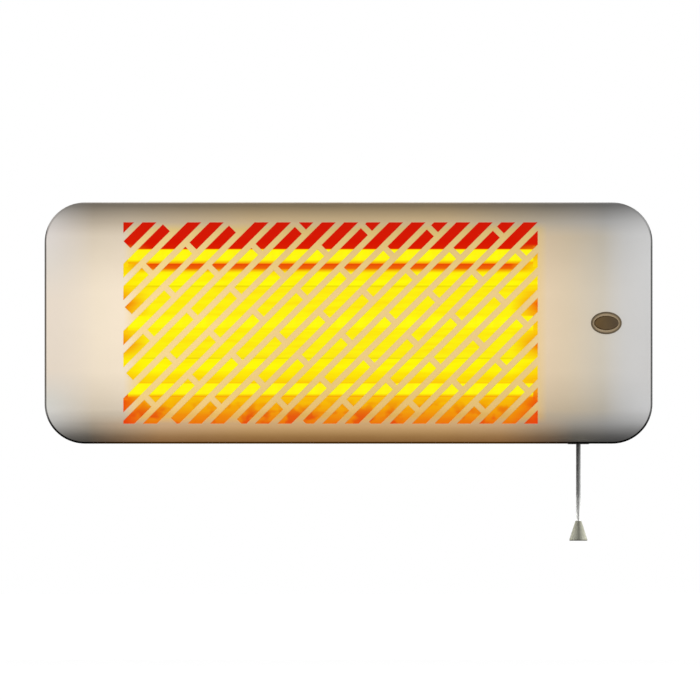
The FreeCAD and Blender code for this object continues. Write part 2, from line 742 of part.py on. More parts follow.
def wound_wire(name, radius, tail_radius, length, lead_in, turns, wire):
    """A coil along +Z, as one solid. Prints its least gap to itself."""
    edges = wound_path(radius, tail_radius, length, lead_in, turns, wire)
    profile = Part.Wire([Part.makeCircle(wire / 2, Vector(tail_radius, 0, 0), UP)])
    coil = Part.Wire(edges).makePipeShell([profile], True, False)
    print(name, "least gap to itself", round(least_self_gap(edges, wire, radius), 2), "mm")
    return coil


# Heating elements

def tube_half():
    """Half the length of a quartz tube, from cap socket to cap socket."""
    return HOLDER_X - (CAP_INSIDE - CAP_SOCKET)


def cap_end():
    """X of the right-hand caps' outer faces, where the busbar lies."""
    return GRILLE_CENTRE_X + HOLDER_X + HOLDER_SHEET + CAP_OUTSIDE


def on_tube(x, z):
    """A point on a tube's axis."""
    return Vector(x, TUBE_Y, z)


def make_quartz_tube(z):
    """One quartz tube."""
    return ring(on_tube(GRILLE_CENTRE_X - tube_half(), z), on_tube(GRILLE_CENTRE_X + tube_half(), z),
                TUBE_R, TUBE_R - TUBE_WALL)


def make_heating_coil(name, z):
    """One resistance coil, held between the two pin heads in its tube."""
    half = tube_half() - PIN_HEAD
    coil = wound_wire(name, COIL_MEAN_R, COIL_TAIL_R, 2 * half, COIL_LEAD_IN, COIL_TURNS, COIL_WIRE)
    coil.rotate(Vector(0, 0, 0), BACK, 90)
    coil.translate(on_tube(GRILLE_CENTRE_X - half, z))
    return coil


def make_ceramic_cap(z):
    """The right-hand cap of one tube: a socket inside the holder and a neck through it."""
    face = GRILLE_CENTRE_X + HOLDER_X
    inner = face - CAP_INSIDE
    head = rod(on_tube(inner, z), on_tube(face, z), CAP_R)
    neck = rod(on_tube(face, z), on_tube(cap_end(), z), CAP_NECK_R)
    socket = rod(on_tube(inner, z), on_tube(inner + CAP_SOCKET, z), TUBE_R + CAP_FIT)
    hole = rod(on_tube(inner, z), on_tube(cap_end(), z), PIN_R + THREAD_CLEARANCE)
    return head.fuse(neck).removeSplitter().cut(socket).cut(hole)


def make_terminal_pin(z):
    """The right-hand pin of one tube: a head inside the tube and a threaded tail through the cap."""
    seat = GRILLE_CENTRE_X + tube_half()
    head = rod(on_tube(seat - PIN_HEAD, z), on_tube(seat, z), PIN_HEAD_R)
    tail = rod(on_tube(seat, z), on_tube(cap_end() + PIN_TAIL, z), PIN_R)
    return head.fuse(tail).removeSplitter()


def make_terminal_nut(z):
    """The right-hand nut that clamps the busbar on a cap."""
    start = cap_end() + BUSBAR_SHEET
    nut = hexagon(on_tube(start, z), on_tube(start + TERMINAL_NUT, z), TERMINAL_NUT_R)
    return nut.cut(rod(on_tube(start, z), on_tube(start + TERMINAL_NUT, z), PIN_R + THREAD_CLEARANCE))


def make_busbar():
    """The right-hand strip that joins the three elements."""
    reach = TUBE_SPACING + BUSBAR_END
    strip = box(cap_end(), cap_end() + BUSBAR_SHEET, TUBE_Y - BUSBAR_WIDTH / 2, TUBE_Y + BUSBAR_WIDTH / 2,
                BODY_RISE - reach, BODY_RISE + reach)
    holes = [rod(on_tube(cap_end() - SHEET, z), on_tube(cap_end() + 2 * SHEET, z), PIN_R + THREAD_CLEARANCE)
             for z in TUBE_Z.values()]
    return cut_all(strip, holes)


def both_ends(make_piece):
    """A piece of every tube, at both ends."""
    pieces = [make_piece(z) for z in TUBE_Z.values()]
    return pieces + [to_left(piece) for piece in pieces]


# Pilot lamp

def lamp_oval(growth, y_back, y_front):
    """An oval about the lamp's axis, this much larger all round than the lens."""
    return oval_prism(LAMP_X, BODY_RISE, LENS_WIDTH + 2 * growth, LENS_HEIGHT + 2 * growth, y_back, y_front)


def make_lamp_bezel():
    """An oval flange on the cover with a neck behind it, a ledge for the lens and a hole for the neon."""
    flange_front = FRONT_Y - BEZEL_FLANGE
    flange = oval_prism(LAMP_X, BODY_RISE, BEZEL_WIDTH, BEZEL_HEIGHT, FRONT_Y, flange_front)
    rim = [edge for edge in flange.Edges if edge.BoundBox.YMax < flange_front + 0.01]
    flange = flange.makeFillet(BEZEL_EDGE_R, rim)
    neck_end = FRONT_Y + BEZEL_NECK
    neck = lamp_oval(LAMP_RIM - LAMP_FIT, neck_end, FRONT_Y)
    window = lamp_oval(LAMP_FIT, lens_back(), flange_front - SHEET)
    hollow = lamp_oval(-LENS_LEDGE, neck_end - LAMP_RIM, flange_front)
    neon_hole = rod(Vector(LAMP_X, flange_front, BODY_RISE), Vector(LAMP_X, neck_end + SHEET, BODY_RISE),
                    NEON_R + THREAD_CLEARANCE)
    return cut_all(flange.fuse(neck).removeSplitter(), [window, hollow, neon_hole])


def lens_back():
    """Y of the ledge that the lens sits on."""
    return FRONT_Y - BEZEL_FLANGE - LENS_PROUD + LENS_DEPTH


def make_lamp_lens():
    """The oval lens with a rounded front edge."""
    front = lens_back() - LENS_DEPTH
    lens = lamp_oval(0, lens_back(), front)
    rim = [edge for edge in lens.Edges if edge.BoundBox.YMax < front + 0.01]
    return lens.makeFillet(LENS_EDGE_R, rim)


def make_neon_lamp():
    """A small neon lamp gripped in the bezel's end wall."""
    start = Vector(LAMP_X, lens_back() + NEON_GAP, BODY_RISE)
    return rod(start, start + BACK * NEON_LENGTH, NEON_R)


def make_lamp_clip():
    """The spring plate that holds the bezel from behind the cover."""
    front = FRONT_Y + SHEET
    plate = lamp_oval(LAMP_RIM + CLIP_RIM, front + CLIP_SHEET, front)
    return plate.cut(lamp_oval(LAMP_RIM, front + CLIP_SHEET + SHEET, front - SHEET))


# Terminal block, gland, earth stud and cutout

def block_entry(way, shift=0.0):
    """Where a lead meets the underside of one way of the terminal block."""
    return Vector(BLOCK_X + (way - 1) * BLOCK_PITCH, INNER_REAR_Y - BLOCK_DEPTH / 2 + shift,
                  BODY_RISE + BLOCK_Z - BLOCK_HEIGHT / 2)


def terminal_screw_seats():
    """Centres of the terminal screws on the block's front face."""
    front = INNER_REAR_Y - BLOCK_DEPTH
    return [Vector(BLOCK_X + (way - 1) * BLOCK_PITCH, front, BODY_RISE + BLOCK_Z) for way in range(3)]


def make_terminal_block():
    """A three-way block on the rear cover, with mains entries on top."""
    z = BODY_RISE + BLOCK_Z
    front = INNER_REAR_Y - BLOCK_DEPTH
    top = z + BLOCK_HEIGHT / 2
    half = BLOCK_WIDTH / 2
    block = box(BLOCK_X - half, BLOCK_X + half, front, INNER_REAR_Y, z - BLOCK_HEIGHT / 2, top)
    cutters = [rod(seat, seat + BACK * TERMINAL_SCREW, TERMINAL_SCREW_R + THREAD_CLEARANCE)
               for seat in terminal_screw_seats()]
    cutters += [rod(Vector(seat.x, front + BLOCK_DEPTH / 2, top - TERMINAL_SCREW / 2),
                    Vector(seat.x, front + BLOCK_DEPTH / 2, top), TERMINAL_SCREW_R)
                for seat in terminal_screw_seats()]
    cutters += holes_along_y(block_screw_places(), SCREW_R + THREAD_CLEARANCE, INNER_REAR_Y,
                             REAR_Y - SCREW_LENGTH)
    return cut_all(block, cutters)


def make_terminal_screws():
    """Slotted screws, flush in the block's front."""
    screws = []
    for seat in terminal_screw_seats():
        slot = box(seat.x - TERMINAL_SCREW_R, seat.x + TERMINAL_SCREW_R, seat.y, seat.y + SCREW_SLOT,
                   seat.z - SCREW_SLOT / 2, seat.z + SCREW_SLOT / 2)
        screws.append(rod(seat, seat + BACK * TERMINAL_SCREW, TERMINAL_SCREW_R).cut(slot))
    return screws


def make_cable_gland():
    """The mains inlet: a threaded tube through the rear cover with a hexagon and a dome outside."""
    seat = Vector(GLAND_X, REAR_Y, BODY_RISE + GLAND_Z)
    inner = seat - BACK * (SHEET + GLAND_NUT + SHEET)
    shoulder = seat + BACK * GLAND_FLANGE
    outer = shoulder + BACK * GLAND_DOME
    thread = rod(inner, seat, GLAND_THREAD_R)
    flange = hexagon(seat, shoulder, GLAND_FLANGE_R)
    dome = Part.makeCone(GLAND_DOME_R, GLAND_THREAD_R, GLAND_DOME, shoulder, BACK)
    return thread.fuse([flange, dome]).removeSplitter().cut(rod(inner, outer, GLAND_BORE_R))


def make_gland_nut():
    """The gland's lock nut inside the rear cover."""
    seat = Vector(GLAND_X, INNER_REAR_Y, BODY_RISE + GLAND_Z)
    end = seat - BACK * GLAND_NUT
    return hexagon(end, seat, GLAND_FLANGE_R).cut(rod(end, seat, GLAND_THREAD_R + THREAD_CLEARANCE))


def earth_point(inward):
    """A point on the earth stud's axis, this far in from the rear cover's inner face."""
    return Vector(EARTH_X, INNER_REAR_Y - inward, BODY_RISE + EARTH_Z)


def make_earth_stud():
    """A stud with a flat head outside the rear cover."""
    shank = rod(earth_point(-SHEET), earth_point(EARTH_LENGTH), EARTH_R)
    head = rod(earth_point(-SHEET - RIVET_HEAD), earth_point(-SHEET), EARTH_NUT_R)
    return shank.fuse(head).removeSplitter()


def make_earth_nuts():
    """Two nuts with the earth lead's tag between them."""
    nuts = []
    for start in (0, EARTH_NUT + EARTH_TAG):
        inner = earth_point(start + EARTH_NUT)
        outer = earth_point(start)
        nut = hexagon(inner, outer, EARTH_NUT_R)
        nuts.append(nut.cut(rod(inner, outer, EARTH_R + THREAD_CLEARANCE)))
    return nuts


def cutout_tab(side):
    """The outer end of one of the cutout's two tabs."""
    x = GRILLE_CENTRE_X + HOLDER_X + HOLDER_SHEET + CUTOUT_EAR_SHEET + CUTOUT_LENGTH + TAB_LENGTH
    y, z = cutout_place()
    return Vector(x, y, z + side * TAB_SPACING / 2)


def make_thermal_cutout():
    """A disc cutout on the right-hand holder, with an ear and two tabs."""
    start = GRILLE_CENTRE_X + HOLDER_X + HOLDER_SHEET
    y, z = cutout_place()
    ear = box(start, start + CUTOUT_EAR_SHEET, y - CUTOUT_EAR_WIDTH / 2, y + CUTOUT_EAR_WIDTH / 2,
              z - CUTOUT_EAR, z + CUTOUT_EAR)
    body_end = start + CUTOUT_EAR_SHEET + CUTOUT_LENGTH
    body = rod(Vector(start, y, z), Vector(body_end, y, z), CUTOUT_R)
    tabs = [box(body_end, body_end + TAB_LENGTH, y - TAB_WIDTH / 2, y + TAB_WIDTH / 2,
                cutout_tab(side).z - TAB_SHEET / 2, cutout_tab(side).z + TAB_SHEET / 2) for side in (-1, 1)]
    holes = []
    for hole_y, hole_z in cutout_screw_places():
        outer = Vector(start + CUTOUT_EAR_SHEET, hole_y, hole_z)
        holes.append(rod(Vector(start, hole_y, hole_z), outer, CUTOUT_SCREW_R + THREAD_CLEARANCE))
    return cut_all(ear, holes).fuse([body] + tabs).removeSplitter()


def make_cutout_screws():
    """Two small screws through the cutout's ear into the holder."""
    seat_x = GRILLE_CENTRE_X + HOLDER_X + HOLDER_SHEET + CUTOUT_EAR_SHEET
    screws = []
    for y, z in cutout_screw_places():
        seat = Vector(seat_x, y, z)
        shank = rod(seat - RIGHT * CUTOUT_SCREW, seat, CUTOUT_SCREW_R)
        head = rod(seat, seat + RIGHT * CUTOUT_SCREW_HEAD, 2 * CUTOUT_SCREW_R)
        screws.append(shank.fuse(head).removeSplitter())
    return screws


# Leads

def lead(points, name):
    """A round lead along straight runs joined by tangent arcs as large as the runs allow."""
    edges = []
    here = points[0]
    radii = []
    for before, corner, after in zip(points, points[1:], points[2:]):
        arriving = (corner - before).normalize()
        leaving = (after - corner).normalize()
        half_turn = arriving.getAngle(leaving) / 2
        setback = ARC_SHARE * min((corner - before).Length, (after - corner).Length)
        radii.append(round(setback / math.tan(half_turn), 1))
        start = corner - arriving * setback
        edges.append(Part.LineSegment(here, start).toShape())
        here = corner + leaving * setback
        edges.append(arc_from_tangent(start, arriving, here))
    edges.append(Part.LineSegment(here, points[-1]).toShape())
    path = Part.Wire(edges)
    profile = Part.Wire([Part.makeCircle(LEAD_R, points[0], points[1] - points[0])])
    tube = path.makePipeShell([profile], True, False)
    wanted = math.pi * LEAD_R ** 2 * path.Length
    print(name, "bend radii", radii, "volume share", round(tube.Volume / wanted, 4))
    return tube


def busbar_face(height):
    """A point on the right-hand busbar's outer face, this far above the middle element."""
    return Vector(cap_end() + BUSBAR_SHEET, TUBE_Y, BODY_RISE + height)


def make_live_lead():
    """Terminal block to the cutout's upper tab."""
    tab = cutout_tab(1)
    entry = block_entry(0)
    return lead([tab, Vector(entry.x, tab.y, tab.z), Vector(entry.x, entry.y, tab.z), entry], "live_lead")


def make_cutout_lead():
    """Cutout's lower tab to the switch's left-hand blade."""
    tab = cutout_tab(-1)
    blade = blade_top(-1)
    return lead([tab, Vector(blade.x, tab.y, tab.z), blade], "cutout_lead")


def make_switched_lead():
    """Switch's right-hand blade to the right-hand busbar."""
    blade = blade_top(1)
    target = busbar_face(SWITCHED_LEAD_Z)
    rise = Vector(blade.x, blade.y, target.z)
    return lead([blade, rise, Vector(blade.x, target.y, target.z), target], "switched_lead")


def make_neutral_lead():
    """Terminal block, behind the reflector and through both holders, to the left-hand busbar."""
    entry = block_entry(1, LEAD_PAIR)
    y, z = neutral_lead_place()
    face = 2 * GRILLE_CENTRE_X - busbar_face(0).x
    turn_x = face - NEUTRAL_LOOP
    points = [entry, Vector(entry.x, y, z), Vector(turn_x, y, z), Vector(turn_x, TUBE_Y, z),
              Vector(face, TUBE_Y, z)]
    return lead(points, "neutral_lead")


def make_earth_lead():
    """Terminal block to a ring tag on the earth stud."""
    entry = block_entry(2)
    middle = earth_point(EARTH_NUT + EARTH_TAG / 2)
    tag = ring(earth_point(EARTH_NUT + EARTH_TAG), earth_point(EARTH_NUT), EARTH_TAG_R,
               EARTH_R + THREAD_CLEARANCE)
    end = middle - RIGHT * (EARTH_TAG_R + EARTH_NUT_R) / 2
    approach = end - RIGHT * EARTH_APPROACH
    points = [entry, Vector(entry.x, entry.y, approach.z + EARTH_APPROACH), approach, end]
    return lead(points, "earth_lead").fuse(tag).removeSplitter()


def make_lamp_leads():
    """From the neon lamp to the right-hand busbar and to the neutral way."""
    back = Vector(LAMP_X, lens_back() + NEON_GAP + NEON_LENGTH, BODY_RISE)
    live_end = busbar_face(LAMP_LEAD_Z)
    start = back - RIGHT * LAMP_LEAD_SPACING / 2
    live = [start, start + BACK * LAMP_LEAD_RUN,
            Vector(live_end.x + LAMP_LEAD_RUN, start.y + LAMP_LEAD_RUN, live_end.z),
            live_end + RIGHT * LAMP_LEAD_RUN, live_end]
    start = back + RIGHT * LAMP_LEAD_SPACING / 2
    entry = block_entry(1, -LEAD_PAIR)
    turn = start + BACK * (LAMP_LEAD_RUN + LAMP_LEAD_SPACING)
    neutral = [start, turn, turn + UP * (entry.z - BODY_RISE) / 2, entry - UP * LAMP_LEAD_RUN, entry]
    return [lead(live, "lamp_lead live"), lead(neutral, "lamp_lead neutral")]


def make_lead_grommets():
    """Bushes for the neutral lead in the two holders."""
    y, z = neutral_lead_place()
    face = Vector(GRILLE_CENTRE_X + HOLDER_X, y, z)
    outer = face + RIGHT * HOLDER_SHEET
    inner = face - RIGHT * LEAD_GROMMET_FLANGE
    bore = LEAD_R + LEAD_CLEARANCE
    flange = ring(inner, face, LEAD_GROMMET_R + LEAD_GROMMET_FLANGE, bore)
    bush = ring(face, outer, LEAD_GROMMET_R - THREAD_CLEARANCE, bore).fuse(flange).removeSplitter()
    return [bush, to_left(bush)]


# Pull switch

def on_cord(z, dx=0.0, dy=0.0):
    """A point at a height beside the cord's axis."""
    return Vector(CORD_X + dx, CORD_Y + dy, z)


def switch_floor():
    """Z of the underside of the switch case."""
    return INNER_BOTTOM + CASE_RISE


def shoulder_z():
    """Z of the underside of the slider's shoulder, where the spring pushes."""
    return switch_floor() + CASE_WALL + SPRING_LENGTH


def rotor_tip():
    """Radius at which one tooth step is as long as the cord's travel."""
    return CORD_TRAVEL * ROTOR_TEETH / (2 * math.pi)


def rotor_centre():
    """The rotor's centre, beside the slider."""
    height = shoulder_z() + SHOULDER + NOSE_CLEARANCE + rotor_tip()
    return on_cord(height, SLIDER_REACH + ROTOR_GAP + rotor_tip())


def case_box(inset, y_front, y_back):
    """A box in the switch case's place, drawn in by inset in X and Z."""
    left = CORD_X - CASE_LEFT
    return box(left + inset, left + CASE_WIDTH - inset, y_front, y_back,
               switch_floor() + inset, switch_floor() + CASE_HEIGHT - inset)


def case_front():
    """Y of the switch case's open front."""
    return CORD_Y - CASE_FRONT_REACH


def blade_top(side):
    """The outer end of one of the two contact blades."""
    reach = CONTACT_REACH + CONTACT_GAP + BLADE_SHEET / 2
    height = switch_floor() + CASE_HEIGHT + BLADE_OUTSIDE
    return Vector(rotor_centre().x + side * reach, case_front() + BLADE_IN, height)


def blade_box(side, low, fit):
    """One contact blade, or with a fit the slot for it."""
    top = blade_top(side)
    return box(top.x - BLADE_SHEET / 2 - fit, top.x + BLADE_SHEET / 2 + fit,
               top.y - BLADE_WIDTH / 2 - fit, top.y + BLADE_WIDTH / 2 + fit, low, top.z)


def make_switch_case():
    """An open-fronted box on the rear cover, with bosses, a spindle hole, blade slots and a stem hole."""
    back = LIP_FRONT_Y
    inner_back = back - CASE_WALL
    case = case_box(0, case_front(), back).cut(case_box(CASE_WALL, case_front(), inner_back))
    left = CORD_X - CASE_LEFT
    middle = switch_floor() + CASE_HEIGHT / 2
    half_pad = CASE_PAD_HEIGHT / 2
    pad = box(left, left + CASE_WIDTH, back, INNER_REAR_Y, middle - half_pad, middle + half_pad)
    bosses = holes_along_y(switch_screw_places(), BOSS_R, inner_back - BOSS, inner_back)
    case = case.fuse([pad] + bosses).removeSplitter()
    centre = rotor_centre()
    cutters = holes_along_y(switch_screw_places(), SCREW_R + THREAD_CLEARANCE, INNER_REAR_Y,
                            REAR_Y - SCREW_LENGTH)
    cutters += holes_along_y([(centre.x, centre.z)], SPINDLE_R + THREAD_CLEARANCE, back, inner_back)
    cutters += [blade_box(side, switch_floor() + CASE_HEIGHT - 2 * CASE_WALL, BLADE_FIT) for side in (-1, 1)]
    cutters.append(rod(on_cord(switch_floor()), on_cord(switch_floor() + CASE_WALL), STEM_R + STEM_CLEARANCE))
    return cut_all(case, cutters)


def make_switch_cover():
    """The plate that closes the case's front, with a locating rim."""
    plate = case_box(0, case_front() - CASE_WALL, case_front())
    rim_inset = CASE_WALL + COVER_FIT
    rim = case_box(rim_inset, case_front(), case_front() + COVER_RIM)
    rim = rim.cut(case_box(rim_inset + COVER_RIM, case_front(), case_front() + COVER_RIM))
    blades = [blade_box(side, switch_floor(), BLADE_FIT) for side in (-1, 1)]
    return cut_all(plate.fuse(rim).removeSplitter(), blades)


def make_switch_terminals():
    """Two brass blades beside the rotor's contact ring, standing out of the case's top."""
    return [blade_box(side, rotor_centre().z - BLADE_WIDTH, 0) for side in (-1, 1)]


def make_rotor_spindle():
    """The fixed pin that the rotor turns on."""
    centre = rotor_centre()
    back = Vector(centre.x, LIP_FRONT_Y, centre.z)
    return rod(back, Vector(centre.x, case_front(), centre.z), SPINDLE_R)


def rotor_point(radius, angle):
    """A point on the rotor, its angle in degrees up from the side that faces the slider."""
    turn = math.radians(angle)
    return rotor_centre() + Vector(-radius * math.cos(turn), -ROTOR_THICK / 2, radius * math.sin(turn))


def make_ratchet_rotor():
    """A ratchet wheel with a long hub."""
    step = 360.0 / ROTOR_TEETH
    root = rotor_tip() - ROTOR_TOOTH
    points = []
    for tooth in range(ROTOR_TEETH):
        flank = step * (tooth + 0.5)
        points += [rotor_point(root, flank - TOOTH_SHARE * step), rotor_point(rotor_tip(), flank),
                   rotor_point(root, flank)]
    wheel = prism(points, BACK * ROTOR_THICK)
    centre = rotor_centre()
    front = Vector(centre.x, case_front() + ROTOR_END_GAP, centre.z)
    back = Vector(centre.x, LIP_FRONT_Y - CASE_WALL - ROTOR_END_GAP, centre.z)
    rotor = wheel.fuse(rod(front, back, ROTOR_HUB_R)).removeSplitter()
    return rotor.cut(rod(front, back, SPINDLE_R + RUNNING_CLEARANCE))


def make_rotor_contact():
    """The brass ring on the hub whose two lugs bridge the blades."""
    centre = rotor_centre()
    y0 = case_front() + BLADE_IN - CONTACT_WIDTH / 2
    y1 = y0 + CONTACT_WIDTH
    start = Vector(centre.x, y0, centre.z)
    end = Vector(centre.x, y1, centre.z)
    outer = rod(start, end, ROTOR_HUB_R + CONTACT_RING)
    half_lug = CONTACT_LUG / 2
    lugs = box(centre.x - CONTACT_REACH, centre.x + CONTACT_REACH, y0, y1,
               centre.z - half_lug, centre.z + half_lug)
    return outer.fuse(lugs).removeSplitter().cut(rod(start, end, ROTOR_HUB_R + THREAD_CLEARANCE))


def stem_end():
    """Z of the slider's lower end, just inside the grommet's rim."""
    return BODY_BOTTOM - STEM_END_DROP


def swing_point():
    """The point that the cord swings about."""
    return on_cord(stem_end() + CUP_MOUTH)


def make_pull_slider():
    """The sprung slider: a block with a nose for the rotor, a shoulder, and a stem with the bead's cup."""
    low = shoulder_z() + SHOULDER
    right = CORD_X + SLIDER_REACH
    half_block = SLIDER_THICK / 2
    block = box(right - SLIDER_WIDTH, right, CORD_Y - half_block, CORD_Y + half_block,
                low, low + SLIDER_HEIGHT)
    half_nose = ROTOR_THICK / 2
    nose_z = rotor_point(rotor_tip(), 180.0 / ROTOR_TEETH).z + NOSE_CLEARANCE
    nose = box(right, right + NOSE_REACH, CORD_Y - half_nose, CORD_Y + half_nose,
               nose_z, nose_z + NOSE_HEIGHT)
    shoulder = rod(on_cord(shoulder_z()), on_cord(low), SHOULDER_R)
    stem = rod(on_cord(stem_end()), on_cord(shoulder_z()), STEM_R)
    cup = Part.makeSphere(BEAD_R + BEAD_CLEARANCE, swing_point())
    lean = math.atan(math.sqrt(2) * math.tan(math.radians(SWING)))
    top_r = (CORD_R + BEAD_CLEARANCE) / math.cos(lean)
    mouth = Part.makeCone(top_r, top_r + CUP_MOUTH * math.tan(lean), CUP_MOUTH, swing_point(), UP * -1)
    return block.fuse([nose, shoulder, stem]).removeSplitter().cut(cup).cut(mouth)


def make_return_spring():
    """The compression spring round the stem."""
    radius = STEM_R + SPRING_GAP + SPRING_WIRE / 2
    spring = wound_wire("return_spring", radius, radius, SPRING_LENGTH, SPRING_LEAD_IN, SPRING_TURNS,
                        SPRING_WIRE)
    spring.translate(on_cord(switch_floor() + CASE_WALL))
    return spring


def make_cord_grommet():
    """A bush in the cover's underside, with a rim inside and outside."""
    bore = STEM_R + STEM_CLEARANCE
    neck = ring(on_cord(BODY_BOTTOM), on_cord(INNER_BOTTOM), bore + GROMMET_WALL - THREAD_CLEARANCE, bore)
    below = ring(on_cord(BODY_BOTTOM - GROMMET_FLANGE), on_cord(BODY_BOTTOM), GROMMET_FLANGE_R, bore)
    above = ring(on_cord(INNER_BOTTOM), on_cord(INNER_BOTTOM + GROMMET_FLANGE), GROMMET_FLANGE_R, bore)
    return neck.fuse([below, above]).removeSplitter()


# Cord, bead and bell

def make_cord_bead():
    """A bead in the slider's cup, with a fan-shaped slot that lets the cord swing sideways."""
    centre = swing_point()
    half = CORD_R + BEAD_CLEARANCE
    lean = math.radians(SWING + FAN_MARGIN)
    side = Vector(half * math.cos(lean), -half, half * math.sin(lean))
    run = Vector(math.sin(lean), 0, -math.cos(lean)) * (2 * BEAD_R)
    right_top = centre + side
    left_top = centre + Vector(-side.x, side.y, side.z)
    right_low = right_top + run
    left_low = left_top + Vector(-run.x, 0, run.z)
    crown = centre + Vector(0, -half, half)
    edges = [Part.LineSegment(left_low, left_top).toShape(),
             Part.Arc(left_top, crown, right_top).toShape(),
             Part.LineSegment(right_top, right_low).toShape(),
             Part.LineSegment(right_low, left_low).toShape()]
    fan = Part.Face(Part.Wire(edges)).extrude(BACK * 2 * half)
    pin_hole = rod(centre - BACK * 2 * BEAD_R, centre + BACK * 2 * BEAD_R, BEAD_PIN_R + THREAD_CLEARANCE)
    return Part.makeSphere(BEAD_R, centre).cut(fan).cut(pin_hole)


def make_bead_pin():
    """The cross pin in the bead that the cord's eye turns on."""
    half = math.sqrt(BEAD_R ** 2 - (2 * BEAD_PIN_R) ** 2)
    return rod(swing_point() - BACK * half, swing_point() + BACK * half, BEAD_PIN_R)


def bell_top():
    """Z of the bell's top."""
    return BODY_BOTTOM - CORD_FREE


def knot_z():
    """Z of the knot's centre, hung just under the recess's top."""
    drop = math.sqrt(KNOT_R ** 2 - (CORD_R + BELL_FIT) ** 2)
    return bell_top() - BELL_HEIGHT + BELL_RECESS - drop - BELL_FIT


def make_pull_cord():
    """The straight hanging cord, with an eye at the top and a knot at the bottom."""
    top = swing_point()
    cord = rod(on_cord(knot_z()), top, CORD_R)
    eye = Part.makeSphere(CORD_R, top)
    knot = Part.makeSphere(KNOT_R, on_cord(knot_z()))
    cord = cord.fuse([eye, knot]).removeSplitter()
    return cord.cut(rod(top - BACK * BEAD_R, top + BACK * BEAD_R, BEAD_PIN_R + RUNNING_CLEARANCE))


def make_pull_bell():
    """A conical bell on the cord, with a recess for the knot."""
    foot = on_cord(bell_top() - BELL_HEIGHT)
    bell = Part.makeCone(BELL_BASE_R, BELL_TOP_R, BELL_HEIGHT, foot, UP)
    bore = rod(foot, on_cord(bell_top()), CORD_R + BELL_FIT)
    recess = rod(foot, foot + UP * BELL_RECESS, BELL_RECESS_R)
    return bell.cut(bore).cut(recess)


# Wall bracket and tilt pivot

def both_sides(shape):
    """A piece and its twin at the other side of the bracket."""
    return [shape, shape.mirror(Vector(0, 0, 0), RIGHT)]


def pivot_plate(x, sheet, foot_y, foot_low, foot_high, end_y):
    """A sheet ear in YZ, from a foot line to a round end about the pivot."""
    low = Vector(x, PIVOT.y, PIVOT.z - EAR_R)
    high = Vector(x, PIVOT.y, PIVOT.z + EAR_R)
    foot = [Vector(x, foot_y, foot_low), Vector(x, foot_y, foot_high)]
    edges = [Part.LineSegment(foot[0], low).toShape(),
             Part.Arc(low, Vector(x, end_y, PIVOT.z), high).toShape(),
             Part.LineSegment(high, foot[1]).toShape(),
             Part.LineSegment(foot[1], foot[0]).toShape()]
    plate = Part.Face(Part.Wire(edges)).extrude(RIGHT * sheet)
    return plate.cut(rod(pivot_at(x), pivot_at(x + sheet), PIVOT_R + RUNNING_CLEARANCE))


def make_wall_plate():
    """A channel: a plate on the wall with an ear bent forward at each end."""
    low = -PLATE_HEIGHT / 2
    plate = box(-EAR_X, EAR_X, -PLATE_SHEET, 0, low, -low)
    ear = pivot_plate(EAR_X - PLATE_SHEET, PLATE_SHEET, 0, low, low + EAR_FOOT, PIVOT.y - EAR_R)
    holes = [(x * WALL_HOLE_X / 2, z * WALL_HOLE_Z / 2) for x in (-1, 1) for z in (-1, 1)]
    plate = cut_all(plate, holes_along_y(holes, WALL_HOLE_R, SHEET, -PLATE_SHEET - SHEET))
    return plate.fuse(both_sides(ear)).removeSplitter()


def pivot_at(x):
    """A point on the pivot's axis."""
    return Vector(x, PIVOT.y, PIVOT.z)


def lug_x():
    """X of the right-hand lug's inner face."""
    return EAR_X + EAR_GAP + WASHER


def make_friction_washers():
    """Fibre washers between ears and lugs."""
    start = lug_x() - WASHER
    return both_sides(ring(pivot_at(start), pivot_at(lug_x()), WASHER_R, PIVOT_R + RUNNING_CLEARANCE))


def make_tilt_lugs():
    """Angle lugs riveted to the rear cover."""
    low = PIVOT.z - LUG_HEIGHT / 2
    high = PIVOT.z + LUG_HEIGHT / 2
    plate = pivot_plate(lug_x(), LUG_SHEET, REAR_Y, low, high, PIVOT.y + EAR_R)
    foot = box(lug_x(), lug_x() + LUG_FOOT, REAR_Y, REAR_Y + LUG_SHEET, low, high)
    places = [place for place in lug_rivet_places() if place[0] > 0]
    holes = holes_along_y(places, RIVET_R + THREAD_CLEARANCE, REAR_Y - SHEET, REAR_Y + 2 * LUG_SHEET)
    return both_sides(plate.fuse(cut_all(foot, holes)).removeSplitter())


def make_lug_rivets():
    """Rivets through the lugs' feet and the rear cover."""
    rivets = []
    for x, z in lug_rivet_places():
        inner = Vector(x, INNER_REAR_Y, z)
        outer = Vector(x, REAR_Y + LUG_SHEET, z)
        shank = rod(inner, outer, RIVET_R)
        head = rod(outer, outer + BACK * RIVET_HEAD, RIVET_HEAD_R)
        tail = rod(inner - BACK * RIVET_HEAD, inner, RIVET_HEAD_R)
        rivets.append(shank.fuse([head, tail]).removeSplitter())
    return rivets


def nut_x():
    """X of the right-hand pivot nut's inner face."""
    return lug_x() + LUG_SHEET + EAR_GAP


def make_pivot_bolts():
    """Hexagon bolts through ear, washer and lug."""
    seat = EAR_X - PLATE_SHEET
    head = hexagon(pivot_at(seat - BOLT_HEAD), pivot_at(seat), BOLT_HEAD_R)
    shank = rod(pivot_at(seat), pivot_at(nut_x() + NUT + BOLT_TAIL), PIVOT_R)
    return both_sides(head.fuse(shank).removeSplitter())


def make_pivot_nuts():
    """Lock nuts that hold the tilt by friction."""
    nut = hexagon(pivot_at(nut_x()), pivot_at(nut_x() + NUT), NUT_R)
    return both_sides(nut.cut(rod(pivot_at(nut_x()), pivot_at(nut_x() + NUT), PIVOT_R + RUNNING_CLEARANCE)))


